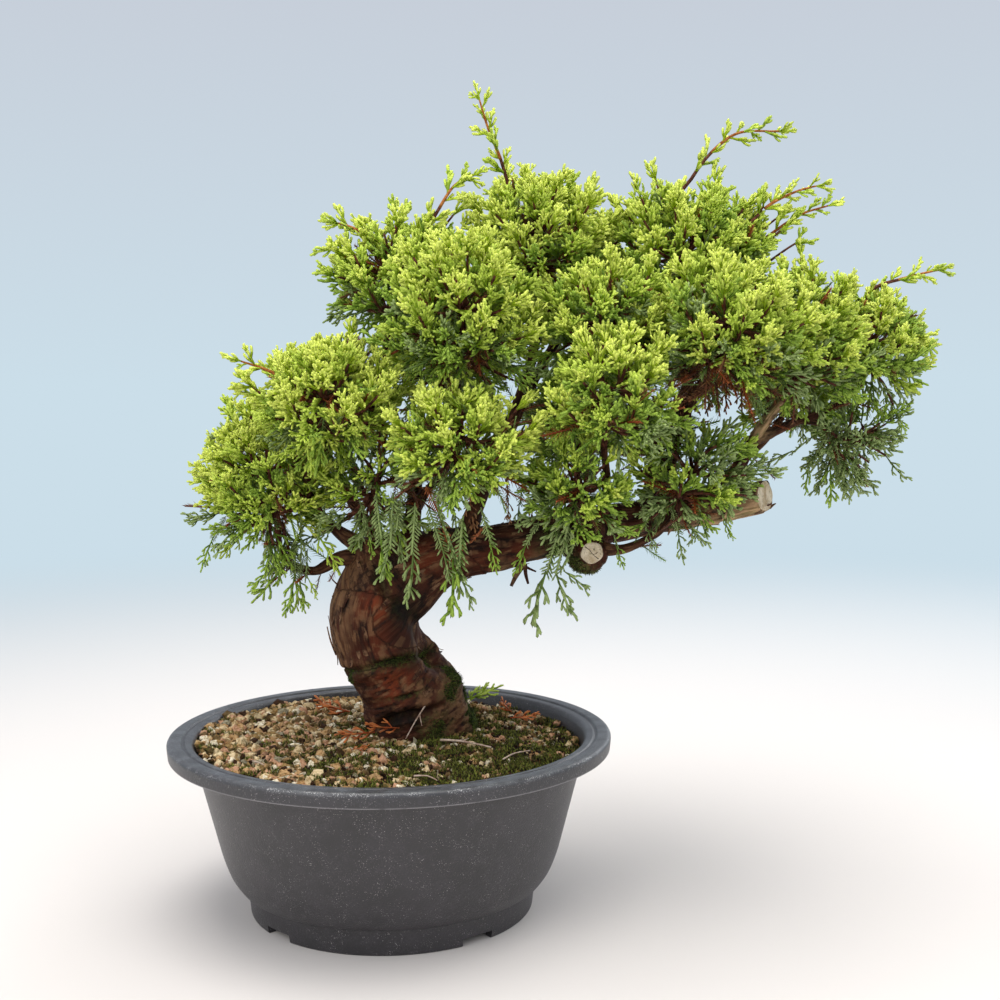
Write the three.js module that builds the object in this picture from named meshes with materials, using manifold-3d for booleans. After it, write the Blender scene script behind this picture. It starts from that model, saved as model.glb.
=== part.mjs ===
// An itoigawa chinese juniper bonsai in a round black plastic training pot.
// Millimetres, +Z up. The origin is the middle of the pot's underside, and -Y faces the viewer.
import * as THREE from 'three';
import { mergeVertices } from 'three/addons/utils/BufferGeometryUtils.js';
import Module from 'manifold-3d';

const wasm = await Module();
wasm.setup();

// Driving dimensions of the pot
const RIM_RADIUS = 110;
const RIM_TOP = 87.7;
const RIM_BAND = 10;
const RIM_STEP = 1.8;
const LIP_HEIGHT = 7;
const LIP_ROUNDING = 1.6;
const MOUTH_RADIUS = 94;
const WALL = 2.6;
const WALL_TOP_RADIUS = 93;
const WALL_INSIDE_TOP = 76.7;
const FOOT_RADIUS = 72;
const FOOT_FLARE = 1.5;
const FOOT_HEIGHT = 13;
const FOOT_WALL = 5;
const UNDERSIDE_HEIGHT = 11;
const CENTRE_FOOT_RADIUS = 14;
const NOTCH_WIDTH = 17;
const NOTCH_HEIGHT = 4;
const NOTCH_BEARINGS = [40, 130, 220, 304];
const ROUND_SEGMENTS = 32;

// Where the pot turns in from wall to foot, as radius and height: the outside going up, the inside going down
const TURN_OUTSIDE = [[77, 14], [81, 19], [84, 26]];
const TURN_INSIDE = [[81.4, 26], [78.4, 20.5], [73.5, 15.6]];

// Driving dimensions of the soil. It is heaped at the front left, lower at the back right, and uneven.
const SOIL_LEVEL = 82;
const SOIL_FALL = 1;
const SOIL_SLOPE_X = -0.03;
const SOIL_SLOPE_Y = -0.022;
const SOIL_FLAT_RADIUS = 54;
const MOUND_RADIUS = 72;
const MOUND_HEIGHT = 1.2;
const MOUND_SPACING = 40;

// How the tree grows
const GAP = 0.3;
const LIMB_SIDES = 5;
const MAIN_LIMB_SIDES = 8;
const TRUNK_SIDES = 12;
const CORE_SHARE = 0.4;
const CORE_MARGIN = 2;
const CELL_MARGIN = 0.4;
const OPEN_SHARE = 0.66;
const STEM_SHARE = 0.8;
const ROOT_LOBE_DEPTH = 0.1;
const ROOT_LOBE_FADE = 2.6;
const TWIGS_PER_MM_OF_REACH = 0.33;
const LONG_TWIG_EVERY = 8;
const GOLDEN_ANGLE = Math.PI * (3 - Math.sqrt(5));
const TWIG_RADIUS = 1.6;
const TWIG_ROOT_SHARE = 0.3;
const PALM_SHARE = 0.49;
const LONG_TWIG_PALM_SHARE = 0.58;
const SHORTEST_SPRAY = 9;
const LONGEST_SPRAY = 30;
const SPRAY_TRIES = [1, 0.8, 0.64];
const SPRAY_ROLLS = [0, Math.PI / 3, -Math.PI / 3];
const SPRAY_THICKNESS = 0.2;
const SPRAY_LIFT = 0.35;
const SIDE_SPRAY_ANGLE = 0.9;
const SIDE_SPRAY_OFFSET = 0.3;
const SHOOT_SPRAY_LENGTH = 17;
const SHOOT_SPRAY_TAPER = 0.3;
const SHOOT_SPRAY_SPACING = 15;
const SHOOT_BARE_SHARE = 0.4;

// One side of a spray's rim, as turns from its heading and shares of its length. The other side mirrors it.
const FAN_SIDE = [[0.3, 0.42], [0.55, 0.92], [0.85, 0.38], [1.2, 0.72]];
const TRIDENT_SIDE = [[0.3, 0.34], [0.75, 0.74]];
const STALK = 0.5;

const UP = new THREE.Vector3(0, 0, 1);
const TOWARDS_VIEWER = new THREE.Vector3(0, -1, 0);

const MATERIALS = {
  plastic: new THREE.MeshStandardMaterial({ color: 0x3b3d45, roughness: 0.55, metalness: 0 }),
  grit: new THREE.MeshStandardMaterial({ color: 0x9c8468, roughness: 0.95, metalness: 0 }),
  bark: new THREE.MeshStandardMaterial({ color: 0x6b3a24, roughness: 0.9, metalness: 0 }),
  foliage: new THREE.MeshStandardMaterial({ color: 0x6f9a2c, roughness: 0.7, metalness: 0 }),
};

// The trunk and every bough run through stations of x, y, z and radius, thickest first.
const TRUNK_ROUTE = [
  [15, 21, 74, 30], [14, 19, 88, 26.5], [9, 15, 106, 25], [-1, 11, 123, 22], [-7, 8, 139, 20.6],
  [-7, 6, 155, 20.4], [2, 5, 168, 18.5], [20, 3, 175, 13.4],
];

// The first station of a bough lies inside the limb that carries it, and the last where its mass begins.
const BOUGH_ROUTES = {
  main_limb: [
    [6, 4, 171, 13.6], [26, 2, 176, 13], [43, 0, 178, 11.6], [60, -3, 181, 10.8], [82, -6, 186, 10.4],
    [104, -6, 190, 9.8], [130, -4, 194, 9], [158, 0, 197, 8.2], [191, 4, 203, 7.6],
  ],
  bough_left_low: [
    [-6, 5, 172, 8], [-24, 4, 174, 4.5], [-37, 4, 168, 3.2], [-47, 2, 171, 2.8], [-54, 0, 181, 2.4],
  ],
  bough_left_middle: [
    [-8, 4, 176, 6], [-27, 4, 189, 3.6], [-38, -3, 203, 3], [-38, -17, 224, 2.6], [-33, -26, 236, 2.2],
  ],
  bough_left_inner: [[-2, 2, 178, 4], [-6, -5, 190, 3], [-8, -9, 197, 2.4]],
  bough_rising: [
    [10, 5, 170, 7], [12, 6, 195, 4.8], [15, 4, 220, 4.1], [30, -4, 248, 3.3], [35, -16, 268, 2.7],
  ],
  bough_left_top: [[14, 4, 212, 3.6], [5, 6, 238, 3.1], [-1, 5, 264, 2.6], [-1, 5, 280, 2.2]],
  bough_front_left: [[13, 5, 200, 3.4], [20, -18, 211, 2.8], [27, -38, 221, 2.4]],
  bough_back_middle: [[14, 5, 216, 3.8], [20, 28, 238, 3.2], [28, 50, 256, 2.5]],
  bough_back_left: [[-2, 10, 174, 6], [-16, 28, 196, 4], [-28, 46, 216, 3], [-33, 54, 227, 2.4]],
  bough_crown: [
    [36, 2, 177, 7], [45, 8, 203, 4.8], [60, 12, 237, 4.2], [73, 12, 275, 3.5], [77, 11, 306, 2.8],
  ],
  bough_back_top: [[60, 12, 237, 4], [78, 36, 266, 3.2], [94, 55, 288, 2.5]],
  bough_low_middle: [[84, -6, 187, 4], [89, -24, 199, 2.8], [91, -34, 205, 2.3]],
  bough_front_middle: [[105, -6, 189, 4.5], [104, -28, 211, 3], [100, -46, 231, 2.4]],
  bough_back_low: [[96, -5, 188, 5], [98, 24, 206, 3.4], [100, 42, 221, 2.7]],
  bough_low_right: [[97, -20, 181, 4.5], [112, -31, 181, 3], [127, -32, 188, 2.6], [138, -30, 199, 2.3]],
  bough_right: [[137, -3, 194, 5.4], [139, -6, 222, 4.3], [146, -14, 247, 3.6], [152, -24, 262, 3]],
  bough_right_inner: [[138, -6, 214, 3.6], [124, -20, 240, 3], [113, -31, 262, 2.4]],
  bough_right_top: [[145, -13, 242, 3.6], [148, -4, 272, 3], [144, 1, 300, 2.4]],
  bough_back_right: [[128, -4, 194, 5], [140, 26, 226, 4], [157, 46, 254, 3.2], [163, 52, 264, 2.6]],
  bough_far: [[166, 1, 198, 5.4], [174, 0, 215, 4.5], [184, -5, 236, 4], [194, -12, 252, 3.4]],
  bough_far_right: [[182, -4, 232, 3.5], [205, 5, 240, 3.1], [228, 8, 248, 2.8], [240, 7, 258, 2.4]],
  bough_far_low: [[209, 6, 241.5, 2.6], [221, 12, 239, 2.2], [226, 14, 235, 2]],
  bough_far_back: [[158, 0, 197, 4.6], [180, 24, 216, 3.5], [203, 42, 233, 2.9], [211, 48, 241, 2.4]],
};

// The knot under the main limb, with the flat face of a sawn-off branch
const KNOT_ROUTE = [[91, -7, 187, 10], [95, -18, 182, 10.5], [96.5, -29, 179, 6]];

// Each mass fills an ellipsoid about its middle, and long shoots reach on from it through the places given.
const MASSES = [
  {
    name: 'foliage_left_low', bough: 'bough_left_low', middle: [-60, 0, 217], reach: [38, 44, 46],
    shoots: [
      [[-56, -10, 190], [-58, -10, 149]], [[-68, 4, 186], [-84, 0, 168]], [[-84, -2, 214], [-98, 0, 212]],
    ],
  },
  {
    name: 'foliage_left_middle', bough: 'bough_left_middle', middle: [-28, -36, 254], reach: [44, 41, 29],
    shoots: [[[-54, -34, 268], [-75, -30, 274]]],
  },
  {
    name: 'foliage_left_top', bough: 'bough_left_top', middle: [3, 6, 312], reach: [37, 42, 35],
    shoots: [[[-10, 10, 333], [-31, 10, 341]], [[-16, 2, 322], [-32, 0, 330]], [[4, 13, 338], [0, 15, 354]]],
  },
  {
    name: 'foliage_left_inner', bough: 'bough_left_inner', middle: [-6, -14, 212], reach: [31, 33, 27],
    shoots: [[[0, -28, 190], [3, -32, 170]]],
  },
  {
    name: 'foliage_front_left', bough: 'bough_front_left', middle: [34, -60, 235], reach: [41, 37, 30],
    shoots: [[[35, -56, 198], [34, -54, 160]]],
  },
  {
    name: 'foliage_front_top', bough: 'bough_rising', middle: [34, -45, 294], reach: [45, 42, 39],
    shoots: [],
  },
  {
    name: 'foliage_crown_top', bough: 'bough_crown', middle: [76, 8, 334], reach: [50, 44, 32],
    shoots: [
      [[63, 12, 362], [55, 11, 384], [46, 10, 408]], [[98, 18, 352], [110, 22, 358]],
      [[42, -2, 342], [41, -3, 352], [49, -2, 365]],
    ],
  },
  {
    name: 'foliage_low_middle', bough: 'bough_low_middle', middle: [90, -48, 212], reach: [28, 30, 26],
    shoots: [[[80, -40, 184], [77, -36, 152]], [[90, -46, 184], [89, -44, 162]]],
  },
  {
    name: 'foliage_front_middle', bough: 'bough_front_middle', middle: [102, -68, 257], reach: [37, 36, 30],
    shoots: [],
  },
  {
    name: 'foliage_low_right', bough: 'bough_low_right', middle: [146, -30, 217], reach: [36, 34, 25],
    shoots: [[[148, -36, 196], [151, -38, 184]]],
  },
  {
    name: 'foliage_right_inner', bough: 'bough_right_inner', middle: [104, -34, 290], reach: [40, 40, 36],
    shoots: [],
  },
  {
    name: 'foliage_right_front', bough: 'bough_right', middle: [160, -46, 286], reach: [47, 43, 39],
    shoots: [],
  },
  {
    name: 'foliage_right_top', bough: 'bough_right_top', middle: [148, 2, 325], reach: [40, 42, 33],
    shoots: [[[152, 3, 350], [164, 2, 371], [202, 0, 385]], [[180, -4, 342], [216, -6, 359]]],
  },
  {
    name: 'foliage_far_middle', bough: 'bough_far', middle: [203, -18, 282], reach: [35, 42, 38],
    shoots: [[[204, -16, 318], [218, -18, 346]]],
  },
  {
    name: 'foliage_far_right', bough: 'bough_far_right', middle: [247, 6, 283], reach: [33, 42, 36],
    shoots: [[[264, 6, 308], [287, 4, 318]], [[266, 2, 284], [280, 2, 279]]],
  },
  {
    name: 'foliage_far_low', bough: 'bough_far_low', middle: [238, 15, 229], reach: [27, 32, 28],
    shoots: [[[231, 14, 210], [231, 14, 197]]],
  },
  {
    name: 'foliage_back_left', bough: 'bough_back_left', middle: [-34, 62, 250], reach: [42, 44, 33],
    shoots: [],
  },
  {
    name: 'foliage_back_middle', bough: 'bough_back_middle', middle: [32, 68, 282], reach: [44, 46, 38],
    shoots: [],
  },
  {
    name: 'foliage_back_top', bough: 'bough_back_top', middle: [102, 68, 312], reach: [44, 46, 34],
    shoots: [],
  },
  {
    name: 'foliage_back_low', bough: 'bough_back_low', middle: [101, 64, 240], reach: [42, 42, 29],
    shoots: [],
  },
  {
    name: 'foliage_back_right', bough: 'bough_back_right', middle: [168, 64, 288], reach: [42, 42, 36],
    shoots: [],
  },
  {
    name: 'foliage_far_back', bough: 'bough_far_back', middle: [219, 56, 259], reach: [36, 36, 31],
    shoots: [],
  },
];

// Solids and geometries

// Turns a closed geometry into a solid. Only its positions are kept, so that corners can merge.
function solidOf(geometry) {
  const bare = geometry.clone();
  bare.deleteAttribute('normal');
  bare.deleteAttribute('uv');
  const merged = mergeVertices(bare);
  return new wasm.Manifold(new wasm.Mesh({
    numProp: 3,
    vertProperties: merged.attributes.position.array,
    triVerts: new Uint32Array(merged.index.array),
  }));
}

function geometryOf(solid) {
  const { vertProperties, triVerts } = solid.getMesh();
  const geometry = new THREE.BufferGeometry();
  geometry.setAttribute('position', new THREE.BufferAttribute(vertProperties, 3));
  geometry.setIndex(new THREE.BufferAttribute(triVerts, 1));
  geometry.computeVertexNormals();
  return geometry;
}

function fuse(solids) {
  return solids.reduce((whole, solid) => whole.add(solid));
}

// Cutting can leave loose scraps, so only the largest piece is kept.
function largestPiece(solid) {
  const pieces = solid.decompose();
  return pieces.reduce((best, piece) => (piece.volume() > best.volume() ? piece : best));
}

// Random numbers from 0 to 1 that come out the same on every run
function seededRandom(seed) {
  let state = seed;
  return () => {
    state = (state + 0x6d2b79f5) | 0;
    let mixed = Math.imul(state ^ (state >>> 15), 1 | state);
    mixed = (mixed + Math.imul(mixed ^ (mixed >>> 7), 61 | mixed)) ^ mixed;
    return ((mixed ^ (mixed >>> 14)) >>> 0) / 2 ** 32;
  };
}

// The pot

// From the middle of the underside out and up over the lip, then down the inside to the middle of the floor
function potProfile() {
  const underLip = RIM_TOP - LIP_HEIGHT;
  const outside = [
    [0, 0], [CENTRE_FOOT_RADIUS, 0], [CENTRE_FOOT_RADIUS, UNDERSIDE_HEIGHT],
    [FOOT_RADIUS - FOOT_WALL, UNDERSIDE_HEIGHT], [FOOT_RADIUS - FOOT_WALL, 0],
    [FOOT_RADIUS, 0], [FOOT_RADIUS + FOOT_FLARE, FOOT_HEIGHT],
    ...TURN_OUTSIDE, [WALL_TOP_RADIUS, underLip], [RIM_RADIUS - LIP_ROUNDING, underLip],
    [RIM_RADIUS, underLip + LIP_ROUNDING], [RIM_RADIUS, RIM_TOP - LIP_ROUNDING],
    [RIM_RADIUS - LIP_ROUNDING, RIM_TOP],
  ];
  const rimInside = [
    [RIM_RADIUS - RIM_BAND, RIM_TOP], [RIM_RADIUS - RIM_BAND, RIM_TOP - RIM_STEP],
    [MOUTH_RADIUS, RIM_TOP - RIM_STEP],
  ];
  return [...outside, ...rimInside, ...innerWall(0)];
}

// The inside of the pot from the top of its wall down to the middle of its floor, or a surface clear of it
function innerWall(clear) {
  const turn = TURN_INSIDE.map(([radius, height]) => [radius - clear, height + clear]);
  const [, floor] = turn.at(-1);
  return [[WALL_TOP_RADIUS - WALL - clear, WALL_INSIDE_TOP], ...turn, [0, floor]];
}

// A lathe turns about Y, so it is stood up to turn about Z.
function turned(profile) {
  const corners = profile.map(([radius, height]) => new THREE.Vector2(radius, height));
  return solidOf(new THREE.LatheGeometry(corners, ROUND_SEGMENTS).rotateX(Math.PI / 2));
}

function potSolid() {
  const notches = NOTCH_BEARINGS.map((bearing) => {
    const notch = new THREE.BoxGeometry(4 * FOOT_WALL, NOTCH_WIDTH, 2 * NOTCH_HEIGHT);
    notch.translate(FOOT_RADIUS, 0, 0);
    return solidOf(notch.rotateZ(THREE.MathUtils.degToRad(bearing)));
  });
  return notches.reduce((pot, notch) => pot.subtract(notch), turned(potProfile()));
}

// The soil's level at a place. It is flat where the trunk stands, and slopes with low mounds out to the wall.
function soilHeight(x, y) {
  const edge = WALL_TOP_RADIUS - WALL;
  const outward = (Math.hypot(x, y) - SOIL_FLAT_RADIUS) / (edge - SOIL_FLAT_RADIUS);
  const share = THREE.MathUtils.clamp(outward, 0, 1);
  const slope = SOIL_SLOPE_X * x + SOIL_SLOPE_Y * y - SOIL_FALL;
  const turn = (2 * Math.PI) / MOUND_SPACING;
  const mound = MOUND_HEIGHT * Math.sin(turn * x + 1) * Math.cos(turn * y);
  return SOIL_LEVEL + share * slope + Math.min(1, 2 * share) * mound;
}

// The soil fills the pot. Its surface is turned flat, then lifted to its level and out to the flaring wall.
function soilSolid() {
  const [, ...wallAndFloor] = innerWall(GAP);
  const edge = WALL_TOP_RADIUS - WALL - 2 * GAP;
  const flare = (MOUTH_RADIUS - WALL_TOP_RADIUS + WALL) / (RIM_TOP - RIM_STEP - WALL_INSIDE_TOP);
  const surface = [
    [edge, WALL_INSIDE_TOP], [edge, SOIL_LEVEL], [MOUND_RADIUS, SOIL_LEVEL], [SOIL_FLAT_RADIUS, SOIL_LEVEL],
    [0, SOIL_LEVEL],
  ];
  return turned([...wallAndFloor.reverse(), ...surface]).warp((corner) => {
    const [x, y, z] = corner;
    const radius = Math.hypot(x, y);
    if (z < SOIL_LEVEL - GAP || radius < SOIL_FLAT_RADIUS + GAP) return;
    corner[2] = soilHeight(x, y);
    if (radius < edge - GAP) return;
    const spread = (radius + flare * (corner[2] - WALL_INSIDE_TOP)) / radius;
    corner[0] = x * spread;
    corner[1] = y * spread;
  });
}

// Limbs

// A cylinder bent along a route, with its radius taken from the stations. Swell makes it that much fatter,
// and lobes multiplies the radius at a share of the length and an angle.
function limbSolid(route, options = {}) {
  const { sides = LIMB_SIDES, stepsPerStation = 1.5, swell = 0, lobes = () => 1 } = options;
  const curve = new THREE.CatmullRomCurve3(route.map(([x, y, z]) => new THREE.Vector3(x, y, z)));
  const steps = Math.round((route.length - 1) * stepsPerStation);
  const frames = curve.computeFrenetFrames(steps);
  const radiusAt = (u) => {
    const along = curve.getUtoTmapping(u) * (route.length - 1);
    const station = Math.min(Math.floor(along), route.length - 2);
    return THREE.MathUtils.lerp(route[station][3], route[station + 1][3], along - station);
  };
  const geometry = new THREE.CylinderGeometry(1, 1, 1, sides, steps);
  const corners = geometry.attributes.position;
  for (let i = 0; i < corners.count; i += 1) {
    const u = 0.5 - corners.getY(i);
    const step = Math.round(u * steps);
    const radius = radiusAt(u) * lobes(u, Math.atan2(corners.getZ(i), corners.getX(i))) + swell;
    const corner = curve.getPointAt(u);
    corner.addScaledVector(frames.normals[step], corners.getX(i) * radius);
    corner.addScaledVector(frames.binormals[step], corners.getZ(i) * radius);
    if (step === steps) corner.addScaledVector(frames.tangents[step], swell);
    corners.setXYZ(i, corner.x, corner.y, corner.z);
  }
  return solidOf(geometry);
}

// The foot of the trunk spreads into root lobes that die out up the trunk.
function rootLobes(u, angle) {
  const nearFoot = Math.max(0, 1 - ROOT_LOBE_FADE * u) ** 2;
  const broad = Math.cos(4 * angle + 0.6);
  const narrow = Math.cos(7 * angle);
  return 1 + nearFoot * ROOT_LOBE_DEPTH * (broad + narrow / 2);
}

function trunkSolid(swell = 0) {
  const whole = limbSolid(TRUNK_ROUTE, { sides: TRUNK_SIDES, swell, lobes: rootLobes });
  const below = new THREE.BoxGeometry(2 * SOIL_LEVEL, 2 * SOIL_LEVEL, 2 * SOIL_LEVEL);
  return whole.subtract(solidOf(below.translate(0, 0, GAP)));
}

function boughSolid(name, swell = 0) {
  if (name !== 'main_limb') return limbSolid(BOUGH_ROUTES[name], { swell });
  const limb = limbSolid(BOUGH_ROUTES.main_limb, { sides: MAIN_LIMB_SIDES, stepsPerStation: 1, swell });
  return limb.add(limbSolid(KNOT_ROUTE, { sides: MAIN_LIMB_SIDES, stepsPerStation: 1, swell }));
}

// Masses of foliage

// The distance from a place in the mass to the skin of its ellipsoid, along a heading
function ellipsoidRoom(mass, place, heading) {
  const from = place.clone().sub(mass.centre).divide(mass.reach);
  const towards = heading.clone().divide(mass.reach);
  const a = towards.lengthSq();
  const b = from.dot(towards);
  return (Math.sqrt(Math.max(0, b * b - a * (from.lengthSq() - 1))) - b) / a;
}

// The same, cut short by the walls that part the mass from its neighbours
function openRoom(mass, place, heading) {
  const from = place.clone().sub(mass.centre);
  return mass.walls.reduce((room, wall) => {
    const towards = heading.dot(wall.heading);
    return towards > 0 ? Math.min(room, (wall.distance - from.dot(wall.heading)) / towards) : room;
  }, ellipsoidRoom(mass, place, heading));
}

// Flat walls part each mass from the others, nearer to the smaller one. They make its space convex.
function wallsRound(mass, masses) {
  return masses.filter((other) => other !== mass).map((other) => {
    const heading = other.centre.clone().sub(mass.centre);
    const apart = heading.length();
    heading.normalize();
    const own = ellipsoidRoom(mass, mass.centre, heading);
    const share = own / (own + ellipsoidRoom(other, other.centre, heading));
    return { heading, distance: apart * share - CELL_MARGIN };
  });
}

function insideWalls(mass, solid) {
  const { vertProperties } = solid.getMesh();
  const corner = new THREE.Vector3();
  for (let i = 0; i < vertProperties.length; i += 3) {
    corner.fromArray(vertProperties, i).sub(mass.centre);
    if (mass.walls.some((wall) => corner.dot(wall.heading) > wall.distance)) return false;
  }
  return true;
}

// Headings spread evenly over the sphere along a spiral, as seeds sit on a flower head
function evenHeadings(count, turn) {
  return Array.from({ length: count }, (_, i) => {
    const height = 1 - (2 * i + 1) / count;
    const across = Math.sqrt(1 - height * height);
    const angle = turn + i * GOLDEN_ANGLE;
    return new THREE.Vector3(across * Math.cos(angle), across * Math.sin(angle), height);
  });
}

function twigSolid(from, to, fromRadius, toRadius) {
  return limbSolid([[...from, fromRadius], [...to, toRadius]], { sides: 3, stepsPerStation: 1 });
}

// A spray of scale leaves: a flat bead whose rim is drawn out into fingers and, at the back, into a stalk.
function spraySolid(palm, heading, facing, length, side) {
  const mirrored = side.map(([turn, radius]) => [-turn, radius]).reverse();
  const along = heading.clone().normalize();
  const across = facing.clone().cross(along).normalize();
  const normal = across.clone().cross(along);
  const rim = [[0, 1], ...side, [Math.PI, STALK], ...mirrored].map(([turn, radius]) => (
    along.clone().applyAxisAngle(normal, -turn).multiplyScalar(radius * length)));
  const geometry = new THREE.SphereGeometry(1, rim.length, 2);
  const corners = geometry.attributes.position;
  for (let i = 0; i < corners.count; i += 1) {
    const pole = Math.round(corners.getY(i));
    const turn = Math.atan2(corners.getZ(i), corners.getX(i)) / (2 * Math.PI);
    const corner = palm.clone().addScaledVector(normal, (pole * length * SPRAY_THICKNESS) / 2);
    if (pole === 0) corner.add(rim[Math.round((turn + 1) * rim.length) % rim.length]);
    corners.setXYZ(i, corner.x, corner.y, corner.z);
  }
  return solidOf(geometry);
}

// The dark inner part of a mass, smaller than its space and flattened where a neighbour is near
function coreSolid(mass) {
  const geometry = new THREE.IcosahedronGeometry(1, 0);
  const corners = geometry.attributes.position;
  const heading = new THREE.Vector3();
  for (let i = 0; i < corners.count; i += 1) {
    heading.fromBufferAttribute(corners, i).normalize();
    const full = CORE_SHARE * ellipsoidRoom(mass, mass.centre, heading);
    const radius = Math.min(full, openRoom(mass, mass.centre, heading) - CORE_MARGIN);
    const corner = mass.centre.clone().addScaledVector(heading, radius);
    corners.setXYZ(i, corner.x, corner.y, corner.z);
  }
  return solidOf(geometry);
}

// The stem goes on from the bough's tip into the core, and is cut clear of the bough with the rest.
function stemSolid(mass) {
  const [x, y, z, radius] = BOUGH_ROUTES[mass.bough].at(-1);
  const tip = new THREE.Vector3(x, y, z);
  return twigSolid(tip, tip.clone().lerp(mass.centre, STEM_SHARE), radius, TWIG_RADIUS);
}

// A twig runs out along a heading and turns up into a spray, rolled and shortened until it has room.
// Every few twigs, a longer one shows its wood.
function twigWithSpray(mass, heading, random, long, hasRoom) {
  const reach = ellipsoidRoom(mass, mass.centre, heading);
  const palmShare = long ? LONG_TWIG_PALM_SHARE : PALM_SHARE;
  const palm = mass.centre.clone().addScaledVector(heading, reach * palmShare);
  const lifted = heading.clone().addScaledVector(UP, SPRAY_LIFT).normalize();
  const facing = new THREE.Vector3(random() - 0.5, random() - 0.5, random() - 0.5).cross(lifted).normalize();
  const room = Math.min(LONGEST_SPRAY, openRoom(mass, palm, lifted));
  for (const length of SPRAY_TRIES.map((share) => share * room)) {
    for (const roll of SPRAY_ROLLS) {
      const spray = spraySolid(palm, lifted, facing.clone().applyAxisAngle(lifted, roll), length, FAN_SIDE);
      if (length < SHORTEST_SPRAY || !hasRoom(spray)) continue;
      if (!long) return spray;
      const root = mass.centre.clone().addScaledVector(heading, reach * TWIG_ROOT_SHARE);
      const end = palm.clone().addScaledVector(lifted, TWIG_RADIUS);
      return spray.add(twigSolid(root, end, TWIG_RADIUS, TWIG_RADIUS / 2));
    }
  }
  return null;
}

// A long shoot from the middle of the mass, with sprays round its outer part and one at its tip
function shootWithSprays(mass, places) {
  const route = [mass.centre, ...places.map((place) => new THREE.Vector3(...place))];
  const stations = route.map((place, i) => [
    ...place, THREE.MathUtils.lerp(TWIG_RADIUS, TWIG_RADIUS / 2, i / places.length),
  ]);
  const curve = new THREE.CatmullRomCurve3(route);
  const count = Math.round(((1 - SHOOT_BARE_SHARE) * curve.getLength()) / SHOOT_SPRAY_SPACING);
  const sprays = Array.from({ length: count }, (_, i) => {
    const outward = (i + 1) / count;
    const last = i === count - 1;
    const length = SHOOT_SPRAY_LENGTH * (1 - SHOOT_SPRAY_TAPER * outward);
    const u = THREE.MathUtils.lerp(SHOOT_BARE_SHARE, 1, outward);
    const along = curve.getTangentAt(u);
    const facing = TOWARDS_VIEWER.clone().projectOnPlane(along).normalize();
    facing.applyAxisAngle(along, i * GOLDEN_ANGLE);
    const heading = along.clone().applyAxisAngle(facing, last ? 0 : SIDE_SPRAY_ANGLE);
    const palm = curve.getPointAt(u).addScaledVector(heading, (last ? -1 : SIDE_SPRAY_OFFSET) * length);
    return spraySolid(palm, heading, facing, length, TRIDENT_SIDE);
  });
  return [limbSolid(stations, { sides: 3, stepsPerStation: 2 }), ...sprays];
}

// Whatever would leave the mass's space or touch a limb or another spray is left off.
function massSolid(mass, seed, limbs) {
  const random = seededRandom(seed);
  let taken = limbs;
  const hasRoom = (solid) => insideWalls(mass, solid) && solid.intersect(taken).isEmpty();
  const shoots = mass.shoots.flatMap((places) => shootWithSprays(mass, places)).filter(hasRoom);
  let whole = fuse([coreSolid(mass), stemSolid(mass), ...shoots]);
  taken = fuse([taken, ...shoots]);
  const twigCount = Math.round((TWIGS_PER_MM_OF_REACH * (mass.reach.x + mass.reach.y + mass.reach.z)) / 3);
  evenHeadings(twigCount, random() * 2 * Math.PI).forEach((heading, i) => {
    const open = openRoom(mass, mass.centre, heading) / ellipsoidRoom(mass, mass.centre, heading);
    if (open < OPEN_SHARE) return;
    const spray = twigWithSpray(mass, heading, random, i % LONG_TWIG_EVERY === 0, hasRoom);
    if (!spray) return;
    whole = whole.add(spray);
    taken = taken.add(spray);
  });
  return largestPiece(whole.subtract(limbs));
}

// The whole plant

function meshOf(name, solid, material) {
  const mesh = new THREE.Mesh(geometryOf(solid), material);
  mesh.name = name;
  return mesh;
}

const bonsai = new THREE.Group();
bonsai.add(meshOf('pot', potSolid(), MATERIALS.plastic));
bonsai.add(meshOf('soil', soilSolid(), MATERIALS.grit));
bonsai.add(meshOf('trunk', trunkSolid(), MATERIALS.bark));

// Each bough is cut clear of the trunk and of the boughs before it, which carry it.
let limbGuard = trunkSolid(GAP);
for (const name of Object.keys(BOUGH_ROUTES)) {
  bonsai.add(meshOf(name, largestPiece(boughSolid(name).subtract(limbGuard)), MATERIALS.bark));
  limbGuard = limbGuard.add(boughSolid(name, GAP));
}

const masses = MASSES.map(({ middle, reach, ...rest }) => ({
  ...rest, centre: new THREE.Vector3(...middle), reach: new THREE.Vector3(...reach),
}));
masses.forEach((mass, i) => {
  mass.walls = wallsRound(mass, masses);
  bonsai.add(meshOf(mass.name, massSolid(mass, i + 1, limbGuard), MATERIALS.foliage));
});

export default bonsai;
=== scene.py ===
# An itoigawa chinese juniper bonsai, growing in a round plastic training pot
import math

import bpy
import numpy as np
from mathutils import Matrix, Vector, kdtree, noise


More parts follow.
